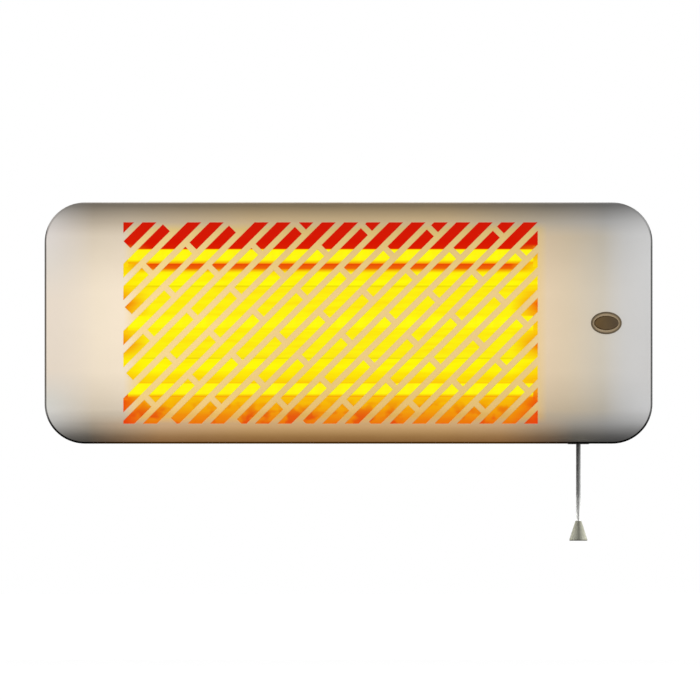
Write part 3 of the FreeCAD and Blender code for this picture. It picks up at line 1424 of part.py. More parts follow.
def main():
    """Build and write every node."""
    os.makedirs("parts", exist_ok=True)
    save("front_cover", make_front_cover())
    save("rear_cover", make_rear_cover())
    save("cover_screws", [screw_along_y(x, z, REAR_Y) for x, z in cover_screw_places()])
    save("reflector", make_reflector())
    save("reflector_rivets", make_reflector_rivets())
    cutout_holes = [(y, z, CUTOUT_SCREW_R + THREAD_CLEARANCE) for y, z in cutout_screw_places()]
    save("element_holder_right", make_element_holder(cutout_holes))
    save("element_holder_left", to_left(make_element_holder([])))
    save("holder_screws", [screw_along_y(x, z, REAR_Y) for x, z in holder_screw_places()])
    for place, z in TUBE_Z.items():
        save("quartz_tube_" + place, make_quartz_tube(z))
        save("heating_coil_" + place, make_heating_coil("heating_coil_" + place, z))
    save("ceramic_caps", both_ends(make_ceramic_cap))
    save("terminal_pins", both_ends(make_terminal_pin))
    save("terminal_nuts", both_ends(make_terminal_nut))
    save("busbar_right", make_busbar())
    save("busbar_left", to_left(make_busbar()))
    save("lamp_bezel", make_lamp_bezel())
    save("lamp_lens", make_lamp_lens())
    save("neon_lamp", make_neon_lamp())
    save("lamp_clip", make_lamp_clip())
    save("terminal_block", make_terminal_block())
    save("terminal_screws", make_terminal_screws())
    save("block_screws", [screw_along_y(x, z, REAR_Y) for x, z in block_screw_places()])
    save("cable_gland", make_cable_gland())
    save("gland_nut", make_gland_nut())
    save("earth_stud", make_earth_stud())
    save("earth_nuts", make_earth_nuts())
    save("thermal_cutout", make_thermal_cutout())
    save("cutout_screws", make_cutout_screws())
    save("live_lead", make_live_lead())
    save("cutout_lead", make_cutout_lead())
    save("switched_lead", make_switched_lead())
    save("neutral_lead", make_neutral_lead())
    save("earth_lead", make_earth_lead())
    save("lamp_leads", make_lamp_leads())
    save("lead_grommets", make_lead_grommets())
    save("switch_case", make_switch_case())
    save("switch_cover", make_switch_cover())
    save("switch_screws", [screw_along_y(x, z, REAR_Y) for x, z in switch_screw_places()])
    save("switch_terminals", make_switch_terminals())
    save("rotor_spindle", make_rotor_spindle())
    save("ratchet_rotor", make_ratchet_rotor())
    save("rotor_contact", make_rotor_contact())
    save("pull_slider", make_pull_slider())
    save("return_spring", make_return_spring())
    save("cord_grommet", make_cord_grommet())
    save("cord_bead", make_cord_bead())
    save("bead_pin", make_bead_pin())
    save("pull_cord", make_pull_cord())
    save("pull_bell", make_pull_bell())
    save("wall_plate", make_wall_plate())
    save("friction_washers", make_friction_washers())
    save("tilt_lugs", make_tilt_lugs())
    save("lug_rivets", make_lug_rivets())
    save("pivot_bolts", make_pivot_bolts())
    save("pivot_nuts", make_pivot_nuts())


main()
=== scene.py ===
"""The look of the wall-hung infrared bathroom heater: camera, light, pull cord and materials.

Metres, in the part's own frame: +X to the right, +Z up, the front towards -Y and the wall at y = 0.
"""

import math

import bmesh
import bpy
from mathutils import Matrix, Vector


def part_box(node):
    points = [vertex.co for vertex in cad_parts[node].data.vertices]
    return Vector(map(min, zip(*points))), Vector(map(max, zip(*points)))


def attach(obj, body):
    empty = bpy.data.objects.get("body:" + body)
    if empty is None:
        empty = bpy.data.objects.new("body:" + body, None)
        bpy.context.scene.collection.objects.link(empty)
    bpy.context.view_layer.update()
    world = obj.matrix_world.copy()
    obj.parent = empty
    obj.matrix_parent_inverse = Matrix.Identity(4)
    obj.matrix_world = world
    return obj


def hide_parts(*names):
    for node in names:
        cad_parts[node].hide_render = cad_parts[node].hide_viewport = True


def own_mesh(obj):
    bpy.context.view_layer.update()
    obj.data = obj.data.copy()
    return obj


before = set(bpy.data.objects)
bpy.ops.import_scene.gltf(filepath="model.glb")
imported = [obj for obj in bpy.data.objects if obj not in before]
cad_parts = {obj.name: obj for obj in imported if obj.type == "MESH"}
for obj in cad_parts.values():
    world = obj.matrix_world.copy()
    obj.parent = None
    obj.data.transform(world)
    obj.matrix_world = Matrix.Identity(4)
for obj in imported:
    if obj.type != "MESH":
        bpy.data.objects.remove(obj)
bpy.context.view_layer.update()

# Places and sizes taken over from the part
FRONT_Y = -0.106
BODY_RISE = 0.025
BODY_HALF_WIDTH = 0.250
BODY_HALF_HEIGHT = 0.0994
CORNER_R = 0.033
GRILLE_LEFT = -0.1852
GRILLE_RIGHT = 0.1556
GRILLE_BOTTOM = -0.05785
GRILLE_TOP = 0.10785
CORD_X = 0.1896
CORD_Y = -0.055
CORD_R = 0.0019
CORD_TOP_Z = -0.0708
CORD_EXIT_Z = -0.0744
KNOT_Z = -0.1491
BELL_TOP_Z = -0.1381
BELL_FOOT_Z = -0.1545

# Camera
VIEW_CENTRE = Vector((0.0012, FRONT_Y, 0.0028))
VIEW_WIDTH = 0.5757
CAMERA_DISTANCE = 16.0
SENSOR_WIDTH = 36.0
VIEW_DEPTH = 100.0


# Helpers for materials

# Sockets of a mix node, by number, since those for colours share their names with others
MIX_SHARE = 0
MIX_FIRST = 6
MIX_SECOND = 7
MIX_RESULT = 2


def srgb(red, green, blue):
    """A display colour, 0 to 255, as the linear colour that a shader takes."""
    def linear(value):
        value = value / 255
        if value <= 0.04045:
            return value / 12.92
        return ((value + 0.055) / 1.055) ** 2.4
    return (linear(red), linear(green), linear(blue), 1.0)


class Shader:
    """A material with its Principled shader, and short ways to add and link nodes."""

    def __init__(self, name, **values):
        self.material = bpy.data.materials.new(name)
        self.material.use_nodes = True
        self.tree = self.material.node_tree
        self.surface = self.tree.nodes["Principled BSDF"]
        for socket, value in values.items():
            self.surface.inputs[socket.replace("_", " ")].default_value = value

    def add(self, kind, **values):
        """A new node, with its settings and plain input values."""
        node = self.tree.nodes.new(kind)
        for key, value in values.items():
            if hasattr(node, key):
                setattr(node, key, value)
            else:
                node.inputs[key.replace("_", " ")].default_value = value
        return node

    def link(self, output, target):
        self.tree.links.new(output, target)

    def place(self):
        """Object coordinates, which are the part's own frame in metres."""
        return self.add("ShaderNodeTexCoord").outputs["Object"]

    def split(self, vector):
        """The X, Y and Z outputs of a vector."""
        node = self.add("ShaderNodeSeparateXYZ")
        self.link(vector, node.inputs[0])
        return node.outputs

    def axes(self):
        """The X, Y and Z of the object coordinates."""
        return self.split(self.place())

    def facing(self):
        """The X, Y and Z of the way the surface faces, in the part's own frame."""
        return self.split(self.add("ShaderNodeTexCoord").outputs["Normal"])

    def scaled_place(self, scale, centre=(0, 0, 0)):
        """Object coordinates from a centre, scaled per axis."""
        mapping = self.add("ShaderNodeMapping")
        mapping.inputs["Scale"].default_value = scale
        mapping.inputs["Location"].default_value = [-place * factor for place, factor in zip(centre, scale)]
        self.link(self.place(), mapping.inputs["Vector"])
        return mapping.outputs["Vector"]

    def noise(self, scale, detail=3.0, stretch=(1, 1, 1)):
        """A noise value over the surface."""
        node = self.add("ShaderNodeTexNoise", Scale=scale, Detail=detail)
        self.link(self.scaled_place(stretch), node.inputs["Vector"])
        return node.outputs["Fac"]

    def span(self, value, low, high, to_low=0.0, to_high=1.0):
        """A value moved from one span to another, held at the ends."""
        node = self.add("ShaderNodeMapRange")
        node.inputs["From Min"].default_value = low
        node.inputs["From Max"].default_value = high
        node.inputs["To Min"].default_value = to_low
        node.inputs["To Max"].default_value = to_high
        self.link(value, node.inputs["Value"])
        return node.outputs["Result"]

    def ramp(self, value, low, high, stops):
        """A colour along a value, from (place, colour) stops between low and high."""
        node = self.add("ShaderNodeValToRGB")
        elements = node.color_ramp.elements
        while len(elements) < len(stops):
            elements.new(0.5)
        for element, (place, colour) in zip(elements, stops):
            element.position = (place - low) / (high - low)
            element.color = colour
        self.link(self.span(value, low, high), node.inputs["Fac"])
        return node.outputs["Color"]

    def mix(self, share, first, second, blend="MIX"):
        """Two colours mixed by a share, each a socket or a plain value."""
        node = self.add("ShaderNodeMix", data_type="RGBA", blend_type=blend)
        for number, value in ((MIX_SHARE, share), (MIX_FIRST, first), (MIX_SECOND, second)):
            if hasattr(value, "links"):
                self.link(value, node.inputs[number])
            else:
                node.inputs[number].default_value = value
        return node.outputs[MIX_RESULT]

    def times(self, first, second):
        """The product of two values."""
        node = self.add("ShaderNodeMath", operation="MULTIPLY")
        self.link(first, node.inputs[0])
        self.link(second, node.inputs[1])
        return node.outputs[0]

    def vector(self, operation, first, second=(0, 0, 0)):
        """The outputs of one step of vector arithmetic with a plain second vector."""
        node = self.add("ShaderNodeVectorMath", operation=operation)
        self.link(first, node.inputs[0])
        node.inputs[1].default_value = second
        return node.outputs

    def mottled(self, value, first, second, most=1.0):
        """Two colours, the second laid unevenly over the first by a noise value."""
        return self.mix(self.span(value, 0.35, 0.65, 0.0, most), first, second)

    def colour(self, output):
        self.link(output, self.surface.inputs["Base Color"])

    def glow(self, output):
        self.link(output, self.surface.inputs["Emission Color"])

    def roughness(self, value, low, high):
        """Roughness that varies with a value from 0 to 1."""
        self.link(self.span(value, 0.3, 0.7, low, high), self.surface.inputs["Roughness"])

    def bump(self, value, strength, distance, edge_radius=0.0):
        """Fine relief from a value, on edges rounded by a small radius."""
        node = self.add("ShaderNodeBump", Strength=strength, Distance=distance)
        self.link(value, node.inputs["Height"])
        if edge_radius:
            rounded = self.add("ShaderNodeBevel", samples=4, Radius=edge_radius)
            self.link(rounded.outputs["Normal"], node.inputs["Normal"])
        self.link(node.outputs["Normal"], self.surface.inputs["Normal"])


# Camera

def make_camera():
    """A long lens straight in front of the heater."""
    data = bpy.data.cameras.new("camera")
    data.sensor_width = SENSOR_WIDTH
    data.lens = SENSOR_WIDTH * CAMERA_DISTANCE / VIEW_WIDTH
    data.clip_end = VIEW_DEPTH
    camera = bpy.data.objects.new("camera", data)
    camera.location = VIEW_CENTRE - Vector((0, CAMERA_DISTANCE, 0))
    camera.rotation_euler = (math.pi / 2, 0, 0)
    bpy.context.scene.collection.objects.link(camera)
    bpy.context.scene.camera = camera


# Pull cord

# Control points of the cord's line, from its end in the switch down to the knot
CORD_ROUTE = [(CORD_X, CORD_Y, CORD_TOP_Z), (CORD_X, CORD_Y, -0.0934),
              (CORD_X, CORD_Y, -0.1264), (CORD_X, CORD_Y, KNOT_Z)]
ROUTE_RESOLUTION = 64
CORD_SIDES = 32
CORD_CARRIERS = 8
CORD_PLAIT_PITCH = 0.0105
CORD_PLAIT_DEPTH = 0.00007
CORD_RING_STEP = 0.0004
KNOT_WRAP_R = 0.00195
KNOT_STRAND_R = 0.00118
KNOT_STEPS = 96
KNOT_SIDES = 12
KNOT_LOOK_AHEAD = 0.01


def wire_ring(builder, middle, out, across, radius, sides):
    """A ring of vertices round a strand or wire."""
    angles = [2 * math.pi * side / sides for side in range(sides)]
    return [builder.verts.new(middle + radius * (out * math.cos(angle) + across * math.sin(angle)))
            for angle in angles]


def skin(builder, rings, closed):
    """Faces between rings of vertices, which close on themselves or are capped at both ends."""
    pairs = list(zip(rings, rings[1:]))
    if closed:
        pairs.append((rings[-1], rings[0]))
    for lower, upper in pairs:
        for i in range(len(lower)):
            j = (i + 1) % len(lower)
            builder.faces.new((lower[i], lower[j], upper[j], upper[i]))
    if not closed:
        builder.faces.new(rings[0])
        builder.faces.new(rings[-1])


def finish_piece(builder, name):
    """The builder's faces, turned outwards and shaded smooth, as a piece in the scene."""
    bmesh.ops.recalc_face_normals(builder, faces=builder.faces)
    mesh = bpy.data.meshes.new(name)
    builder.to_mesh(mesh)
    builder.free()
    for face in mesh.polygons:
        face.use_smooth = True
    piece = bpy.data.objects.new(name, mesh)
    bpy.context.scene.collection.objects.link(piece)
    return piece


def route_points(route):
    """Points along the smooth line that has the route's points as its control points."""
    curve = bpy.data.curves.new("route", "CURVE")
    curve.dimensions = "3D"
    curve.resolution_u = ROUTE_RESOLUTION
    spline = curve.splines.new("NURBS")
    spline.points.add(len(route) - 1)
    for point, place in zip(spline.points, route):
        point.co = (*place, 1)
    spline.order_u = 3
    spline.use_endpoint_u = True
    line = bpy.data.objects.new("route", curve)
    mesh = bpy.data.meshes.new_from_object(line)
    points = [vertex.co.copy() for vertex in mesh.vertices]
    bpy.data.meshes.remove(mesh)
    bpy.data.objects.remove(line)
    bpy.data.curves.remove(curve)
    return points


def at_distance(points, distance):
    """The point a distance along a line of points."""
    for start, end in zip(points, points[1:]):
        step = (end - start).length
        if distance <= step:
            return start.lerp(end, distance / step)
        distance -= step
    return points[-1]


def plait_radius(angle, distance):
    """The cord's radius where two sets of carriers cross over and under each other."""
    turn = 2 * math.pi * distance / CORD_PLAIT_PITCH
    half = CORD_CARRIERS / 2
    over = math.sin(half * (angle + turn)) * math.sin(half * (angle - turn))
    return CORD_R - CORD_PLAIT_DEPTH * (1 - abs(over))


def make_cord(points):
    """A round plaited cord along a line of points, closed at both ends."""
    length = sum((end - start).length for start, end in zip(points, points[1:]))
    count = round(length / CORD_RING_STEP)
    builder = bmesh.new()
    rings = []
    for step in range(count + 1):
        distance = length * step / count
        middle = at_distance(points, distance)
        ring = []
        for side in range(CORD_SIDES):
            angle = 2 * math.pi * side / CORD_SIDES
            out = Vector((math.cos(angle), math.sin(angle), 0))
            ring.append(builder.verts.new(middle + out * plait_radius(angle, distance)))
        rings.append(ring)
    skin(builder, rings, closed=False)
    return finish_piece(builder, "pull_cord_plaited")


def knot_line(turn):
    """A point on the line of an overhand knot, from the knot's centre."""
    reach = (2 + math.cos(3 * turn)) / 3
    return KNOT_WRAP_R * Vector((reach * math.cos(2 * turn), reach * math.sin(2 * turn), math.sin(3 * turn)))


def make_knot():
    """The stopper knot under the bell: a pulled-tight overhand knot."""
    builder = bmesh.new()
    centre = Vector((CORD_X, CORD_Y, KNOT_Z))
    rings = []
    for step in range(KNOT_STEPS):
        turn = 2 * math.pi * step / KNOT_STEPS
        place = knot_line(turn)
        ahead = (knot_line(turn + KNOT_LOOK_AHEAD) - knot_line(turn - KNOT_LOOK_AHEAD)).normalized()
        out = (place - ahead * place.dot(ahead)).normalized()
        rings.append(wire_ring(builder, centre + place, out, ahead.cross(out), KNOT_STRAND_R, KNOT_SIDES))
    skin(builder, rings, closed=True)
    return finish_piece(builder, "pull_cord_knot")


# Bell on the cord

BELL_SIDES = 72
BELL_TOP_R = 0.0026
BELL_BASE_R = 0.0075
BELL_BORE_R = 0.0020
BELL_RECESS_R = 0.0042
BELL_RECESS = 0.008
BELL_EDGE = 0.0004
BELL_SHARP_DEGREES = 60.0


def bell_profile():
    """Radius and height round the bell's section, with its edges taken off."""
    recess_top = BELL_FOOT_Z + BELL_RECESS
    return [(BELL_BORE_R, BELL_TOP_Z), (BELL_TOP_R - BELL_EDGE, BELL_TOP_Z),
            (BELL_TOP_R, BELL_TOP_Z - BELL_EDGE), (BELL_BASE_R, BELL_FOOT_Z + 2 * BELL_EDGE),
            (BELL_BASE_R, BELL_FOOT_Z + BELL_EDGE), (BELL_BASE_R - BELL_EDGE, BELL_FOOT_Z),
            (BELL_RECESS_R + BELL_EDGE, BELL_FOOT_Z), (BELL_RECESS_R, BELL_FOOT_Z + BELL_EDGE),
            (BELL_RECESS_R, recess_top), (BELL_BORE_R, recess_top)]


def make_bell():
    """The conical bell, turned about the cord."""
    builder = bmesh.new()
    rings = []
    for side in range(BELL_SIDES):
        angle = 2 * math.pi * side / BELL_SIDES
        section = [(CORD_X + radius * math.cos(angle), CORD_Y + radius * math.sin(angle), z)
                   for radius, z in bell_profile()]
        rings.append([builder.verts.new(place) for place in section])
    skin(builder, rings, closed=True)
    bell = finish_piece(builder, "pull_bell_turned")
    bell.data.set_sharp_from_angle(angle=math.radians(BELL_SHARP_DEGREES))
    return bell


# Return spring in the switch

SPRING_WIRE = 0.001
SPRING_TURNS = 7
SPRING_TURN_STEPS = 36
SPRING_WIRE_SIDES = 10


def make_spring():
    """The coil round the slider's stem, which is pressed together as the cord is pulled."""
    low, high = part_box("return_spring")
    middle = (low + high) / 2
    coil_r = (high.x - low.x - SPRING_WIRE) / 2
    rise = high.z - low.z - SPRING_WIRE
    up = Vector((0, 0, 1))
    builder = bmesh.new()
    rings = []
    count = SPRING_TURNS * SPRING_TURN_STEPS
    for step in range(count + 1):
        turn = 2 * math.pi * step / SPRING_TURN_STEPS
        out = Vector((math.cos(turn), math.sin(turn), 0))
        height = low.z + SPRING_WIRE / 2 + rise * step / count
        centre = Vector((middle.x, middle.y, height)) + out * coil_r
        rings.append(wire_ring(builder, centre, out, up, SPRING_WIRE / 2, SPRING_WIRE_SIDES))
    skin(builder, rings, closed=False)
    return finish_piece(builder, "return_spring_wound")


# Materials of the body

GRAIN_DEPTH = 0.0001
RELIEF_DEPTH = 0.0002
COVER_LOW = BODY_RISE - BODY_HALF_HEIGHT
COVER_HIGH = BODY_RISE + BODY_HALF_HEIGHT
# Stops by place: along x for the flat, the rolls and the tint of the webs, up z for the others. They paint
# light and shade into the cover's colour: the glow's warm light in and around the grille, a brighter left
# end and shade towards the rolled edges.
COVER_TONE_AND_PAINTED_LIGHT = [(-0.250, srgb(232, 219, 203)), (-0.205, srgb(243, 228, 205)),
                 (-0.184, srgb(247, 231, 208)), (0.156, srgb(232, 209, 177)),
                 (0.180, srgb(222, 205, 178)), (0.207, srgb(208, 200, 185)),
                 (0.228, srgb(206, 204, 200)), (0.250, srgb(209, 208, 207))]
ROLL_TONE_AND_PAINTED_LIGHT = [(-0.250, srgb(212, 201, 186)), (-0.184, srgb(234, 217, 192)), (-0.080, srgb(246, 217, 170)),
                (0.080, srgb(246, 217, 170)), (0.156, srgb(218, 204, 181)), (0.215, srgb(201, 200, 198)),
                (0.250, srgb(201, 201, 201))]
# Painted light on the webs: the glow's warm light up z, falling off from the left towards the right along x.
WEB_PAINTED_GLOW = [(-0.057, srgb(248, 196, 98)), (-0.043, srgb(243, 207, 136)), (-0.030, srgb(245, 214, 141)),
               (-0.004, srgb(250, 220, 153)), (0.049, srgb(251, 221, 158)), (0.075, srgb(245, 217, 148)),
               (0.088, srgb(240, 211, 143)), (0.107, srgb(229, 202, 133))]
WEB_PAINTED_FALLOFF = [(-0.185, srgb(255, 255, 255)), (-0.110, srgb(253, 250, 243)), (-0.050, srgb(244, 239, 228)),
             (0.156, srgb(242, 238, 227))]
# Painted shade: the cover's colour darkened towards its rolled top and bottom.
PAINTED_EDGE_SHADE = [(-0.0744, 0.66), (-0.060, 0.72), (-0.044, 0.74), (-0.034, 0.84), (-0.015, 0.97), (0.010, 1.0),
              (0.050, 1.0), (0.070, 0.92), (0.094, 0.79), (0.110, 0.78), (0.1244, 0.74)]
# Painted light and shade at the ends: the left end paler and warmer, the right end greyer, both darker
# towards the bottom.
LEFT_END_PAINTED_LIGHT = [(-0.0744, srgb(203, 203, 202)), (-0.057, srgb(215, 214, 211)),
                    (-0.040, srgb(212, 210, 203)), (-0.0137, srgb(230, 217, 201)),
                    (0.043, srgb(232, 219, 203)), (0.080, srgb(222, 215, 206)),
                    (0.101, srgb(220, 213, 208)), (0.1244, srgb(224, 221, 217))]
RIGHT_END_PAINTED_LIGHT = [(-0.0744, srgb(170, 170, 170)), (-0.0634, srgb(181, 181, 181)),
                     (-0.057, srgb(197, 197, 197)), (-0.040, srgb(201, 201, 201)),
                     (-0.0137, srgb(205, 204, 203)), (0.064, srgb(208, 208, 208)),
                     (0.093, srgb(203, 203, 203)), (0.1244, srgb(206, 206, 206))]
END_START = 0.210
END_FULL = 0.246
# Painted shade: a narrow dark line round the cover's front edge, strongest along the bottom.
RIM_LINE = 0.0014
RIM_SOFT = 0.3 * RIM_LINE
PAINTED_RIM_SHADE = srgb(8, 7, 6)
# The facing, in y, at which the rim's line starts and is full
RIM_FACING_START = -0.04
RIM_FACING_FULL = -0.10
RIM_STRENGTHS = [(-0.0744, 1.0), (-0.062, 1.0), (-0.045, 0.75), (0.085, 0.65), (0.102, 0.40), (0.1244, 0.0)]
RIM_SPILL_SHARE = 0.7
BLACK = (0, 0, 0, 1)
SPILL_COLOURS = [(-0.0744, (0.15, 0.05, 0.0, 1)), (-0.066, (0.20, 0.08, 0.003, 1)),
                 (-0.059, (0.21, 0.08, 0.004, 1)), (-0.050, BLACK)]
WEB_FADE_ENDS = 0.012
WEB_INSET_RIGHT = 0.004
WEB_FADE_EDGES = 0.006
ROLL_FADE = 0.012
SPILL_FADE = 0.06
SLOT_EDGE_R = 0.0005
CLOUD_COLOUR = srgb(190, 170, 140)


def greys(levels):
    """Ramp stops in grey from (place, level) pairs."""
    return [(place, (level, level, level, 1)) for place, level in levels]


def between(shader, value, low, high, fade):
    """One inside a span of a value, fading to zero just outside it."""
    rising = shader.span(value, low - fade, low)
    falling = shader.span(value, high, high + fade, 1.0, 0.0)
    return shader.times(rising, falling)


def painted_rim_shade(shader, z):
    """One on the narrow dark line of painted shade round the cover's front edge, which fades out along the
    top.
    """
    from_middle = shader.scaled_place((1, 0, 1), centre=(0, 0, BODY_RISE))
    straight = (BODY_HALF_WIDTH - CORNER_R, 0, BODY_HALF_HEIGHT - CORNER_R)
    past = shader.vector("SUBTRACT", shader.vector("ABSOLUTE", from_middle)["Vector"], straight)["Vector"]
    out = shader.vector("LENGTH", shader.vector("MAXIMUM", past)["Vector"])["Value"]
    near = shader.span(out, CORNER_R - RIM_LINE - RIM_SOFT, CORNER_R - RIM_LINE)
    in_front = shader.span(shader.facing()["Y"], RIM_FACING_FULL, RIM_FACING_START, 1.0, 0.0)
    strength = shader.ramp(z, COVER_LOW, COVER_HIGH, greys(RIM_STRENGTHS))
    return shader.times(shader.times(near, in_front), strength)


def metal_around(shader, x, z):
    """The cover's colour outside its grille, with light and shade painted in: a flat warmed by painted glow,
    rolls that darken outwards with painted shade, and cooler ends painted paler at the left than at the
    right.
    """
    flat = shader.ramp(x, -BODY_HALF_WIDTH, BODY_HALF_WIDTH, COVER_TONE_AND_PAINTED_LIGHT)
    roll = shader.ramp(x, -BODY_HALF_WIDTH, BODY_HALF_WIDTH, ROLL_TONE_AND_PAINTED_LIGHT)
    on_flat = between(shader, z, GRILLE_BOTTOM + ROLL_FADE, GRILLE_TOP - ROLL_FADE, ROLL_FADE)
    shade = shader.ramp(z, COVER_LOW, COVER_HIGH, greys(PAINTED_EDGE_SHADE))
    around = shader.mix(1.0, shader.mix(on_flat, roll, flat), shade, "MULTIPLY")
    for end, colours in ((-1, LEFT_END_PAINTED_LIGHT), (1, RIGHT_END_PAINTED_LIGHT)):
        at_end = shader.span(x, end * END_START, end * END_FULL)
        around = shader.mix(at_end, around, shader.ramp(z, COVER_LOW, COVER_HIGH, colours))
    return around


def metal_in_grille(shader, x, z):
    """The colour of the webs between the slots, with the glow's warm light painted in, and the share of it
    at each place.
    """
    tint = shader.ramp(x, -BODY_HALF_WIDTH, BODY_HALF_WIDTH, WEB_PAINTED_FALLOFF)
    web = shader.mix(1.0, shader.ramp(z, COVER_LOW, COVER_HIGH, WEB_PAINTED_GLOW), tint, "MULTIPLY")
    share = shader.times(
        between(shader, x, GRILLE_LEFT + WEB_FADE_ENDS, GRILLE_RIGHT - WEB_INSET_RIGHT, WEB_FADE_ENDS),
        between(shader, z, GRILLE_BOTTOM + WEB_FADE_EDGES, GRILLE_TOP - WEB_FADE_EDGES, WEB_FADE_EDGES))
    return web, share


def spilt_glow(shader, x, z, rim):
    """The glow's own light on the lower roll under the grille, weaker on the rim."""
    inset = SPILL_FADE / 2
    under_grille = between(shader, x, GRILLE_LEFT + inset, GRILLE_RIGHT - inset, SPILL_FADE)
    spill = shader.mix(under_grille, BLACK, shader.ramp(z, COVER_LOW, COVER_HIGH, SPILL_COLOURS))
    return shader.mix(shader.span(rim, 0.0, 1.0, 0.0, RIM_SPILL_SHARE), spill, BLACK)


def cover_steel():
    """Satin metal with light and shade painted in: cool at the right end and warmed by the glow's painted
    light in and around the grille.
    """
    shader = Shader("cover_steel", Emission_Strength=1.0, Specular_IOR_Level=0.0)
    x, _, z = shader.axes()
    web, in_grille = metal_in_grille(shader, x, z)
    shaded = shader.mix(in_grille, metal_around(shader, x, z), web)
    clouded = shader.mottled(shader.noise(14.0, 2.0), shaded, CLOUD_COLOUR, 0.05)
    # Painted shade: a narrow dark line round the front edge, where the metal turns dull.
    rim = painted_rim_shade(shader, z)
    shader.colour(shader.mix(rim, clouded, PAINTED_RIM_SHADE))
    shader.link(shader.span(rim, 0.7, 1.0, 1.0, 0.0), shader.surface.inputs["Metallic"])
    shader.glow(spilt_glow(shader, x, z, rim))
    shader.roughness(shader.noise(60.0), 0.33, 0.39)
    shader.bump(shader.noise(2600.0, 2.0), 0.04, GRAIN_DEPTH, SLOT_EDGE_R)
    return shader.material


def sheet_metal(name, colour, dark, rough):
    """Plain sheet or turned metal with faint rolling streaks and spangle."""
    shader = Shader(name, Metallic=0.85)
    streaks = shader.noise(220.0, 3.0, (0.15, 1, 1))
    spangle = shader.noise(75.0, 2.0)
    mottled_tone = shader.mottled(streaks, colour, dark)
    shader.colour(shader.mix(shader.span(spangle, 0.4, 0.6, 0.0, 0.35), mottled_tone, dark))
    shader.roughness(spangle, rough, rough + 0.14)
    shader.bump(shader.noise(1800.0, 2.0), 0.06, GRAIN_DEPTH)
    return shader.material


def plastic(name, colour, dark, rough):
    """Moulded plastic, rubber or ceramic: fine grain, slight mottling and uneven gloss."""
    shader = Shader(name)
    mottle = shader.noise(120.0, 3.0)
    shader.colour(shader.mottled(mottle, colour, dark))
    shader.roughness(mottle, rough, rough + 0.12)
    shader.bump(shader.noise(2200.0, 2.0), 0.08, GRAIN_DEPTH)
    return shader.material


# Materials that glow: the tubes and coil, and the trough and tube ends with glow painted on them

GLOW_LOW = -0.064
GLOW_HIGH = 0.112
# The tubes' glow painted on the trough as its reflection, up z, with thin darker bands at its folds.
PAINTED_TROUGH_GLOW = [(-0.062, srgb(232, 96, 8)), (-0.050, srgb(240, 148, 8)), (-0.040, srgb(247, 190, 8)),
                (-0.0245, srgb(250, 214, 8)), (-0.019, srgb(252, 226, 8)), (-0.014, srgb(255, 249, 8)),
                (-0.0044, srgb(255, 249, 8)), (-0.0040, srgb(214, 190, 10)), (-0.0034, srgb(252, 240, 12)),
                (0.026, srgb(253, 244, 12)), (0.0548, srgb(253, 240, 12)), (0.0553, srgb(214, 190, 10)),
                (0.0560, srgb(255, 252, 10)), (0.0665, srgb(254, 246, 10)), (0.0700, srgb(238, 100, 6)),
                (0.0745, srgb(230, 64, 4)), (0.087, srgb(216, 10, 0)), (0.110, srgb(206, 18, 2))]
# The painted glow near the trough's ends, which the tube ends share.
PAINTED_END_GLOW = [(-0.062, srgb(230, 50, 14)), (-0.036, srgb(238, 96, 10)), (-0.018, srgb(252, 206, 12)),
                    (-0.006, srgb(255, 240, 12)), (0.007, srgb(240, 118, 4)), (0.020, srgb(252, 214, 10)),
                    (0.028, srgb(250, 190, 10)), (0.041, srgb(240, 100, 4)), (0.058, srgb(255, 240, 10)),
                    (0.076, srgb(250, 214, 10)), (0.090, srgb(216, 24, 4)), (0.110, srgb(204, 26, 6))]
# Redder patches painted low in the trough's glow.
PATCH_TOP = -0.036
PATCH_FULL = -0.052
PATCH_COLOUR = srgb(226, 66, 10)
RIPPLE_TINT = srgb(255, 214, 200)
END_GLOW_REACH = 0.022
# Where the glow's soft orange edge is painted on the tubes, by the way the surface faces.
QUARTZ_TOP_EDGE = 0.84
QUARTZ_UNDERSIDE = -0.5
QUARTZ_PAINTED_EDGE_GLOW = [(-0.020, srgb(240, 140, 8)), (0.010, srgb(250, 225, 12)),
                       (0.035, srgb(250, 225, 12)), (0.060, srgb(240, 140, 8))]


def glowing(name, base, rough):
    """A shader that is dark by itself and glows."""
    return Shader(name, Base_Color=base, Roughness=rough, Emission_Strength=1.0, Specular_IOR_Level=0.05)


def reflector_aluminium():
    """Polished trough with the tubes' glow painted on it as its reflection: red above, yellow between the
    tubes, orange below, with thin darker bands painted at its folds.
    """
    shader = glowing("reflector_aluminium", srgb(22, 16, 8), 0.3)
    x, _, z = shader.axes()
    long_run = shader.ramp(z, GLOW_LOW, GLOW_HIGH, PAINTED_TROUGH_GLOW)
    at_ends = shader.ramp(z, GLOW_LOW, GLOW_HIGH, PAINTED_END_GLOW)
    reach = END_GLOW_REACH
    inner = between(shader, x, GRILLE_LEFT + reach, GRILLE_RIGHT - reach, reach)
    glow = shader.mix(inner, at_ends, long_run)
    streaks = shader.noise(90.0, 3.0, (0.3, 1, 2.5))
    rippled = shader.mix(shader.span(streaks, 0.42, 0.75, 0.0, 0.5), glow, RIPPLE_TINT, "MULTIPLY")
    patches = shader.times(shader.span(shader.noise(70.0, 2.0), 0.46, 0.60),
                           shader.span(z, PATCH_FULL, PATCH_TOP, 0.8, 0.0))
    rippled = shader.mix(patches, rippled, PATCH_COLOUR)
    front = shader.span(shader.facing()["Y"], 0.0, 0.1, 1.0, 0.0)
    shader.glow(shader.mix(front, BLACK, rippled))
    shader.bump(shader.noise(400.0, 2.0, (0.1, 1, 1)), 0.05, RELIEF_DEPTH)
    return shader.material


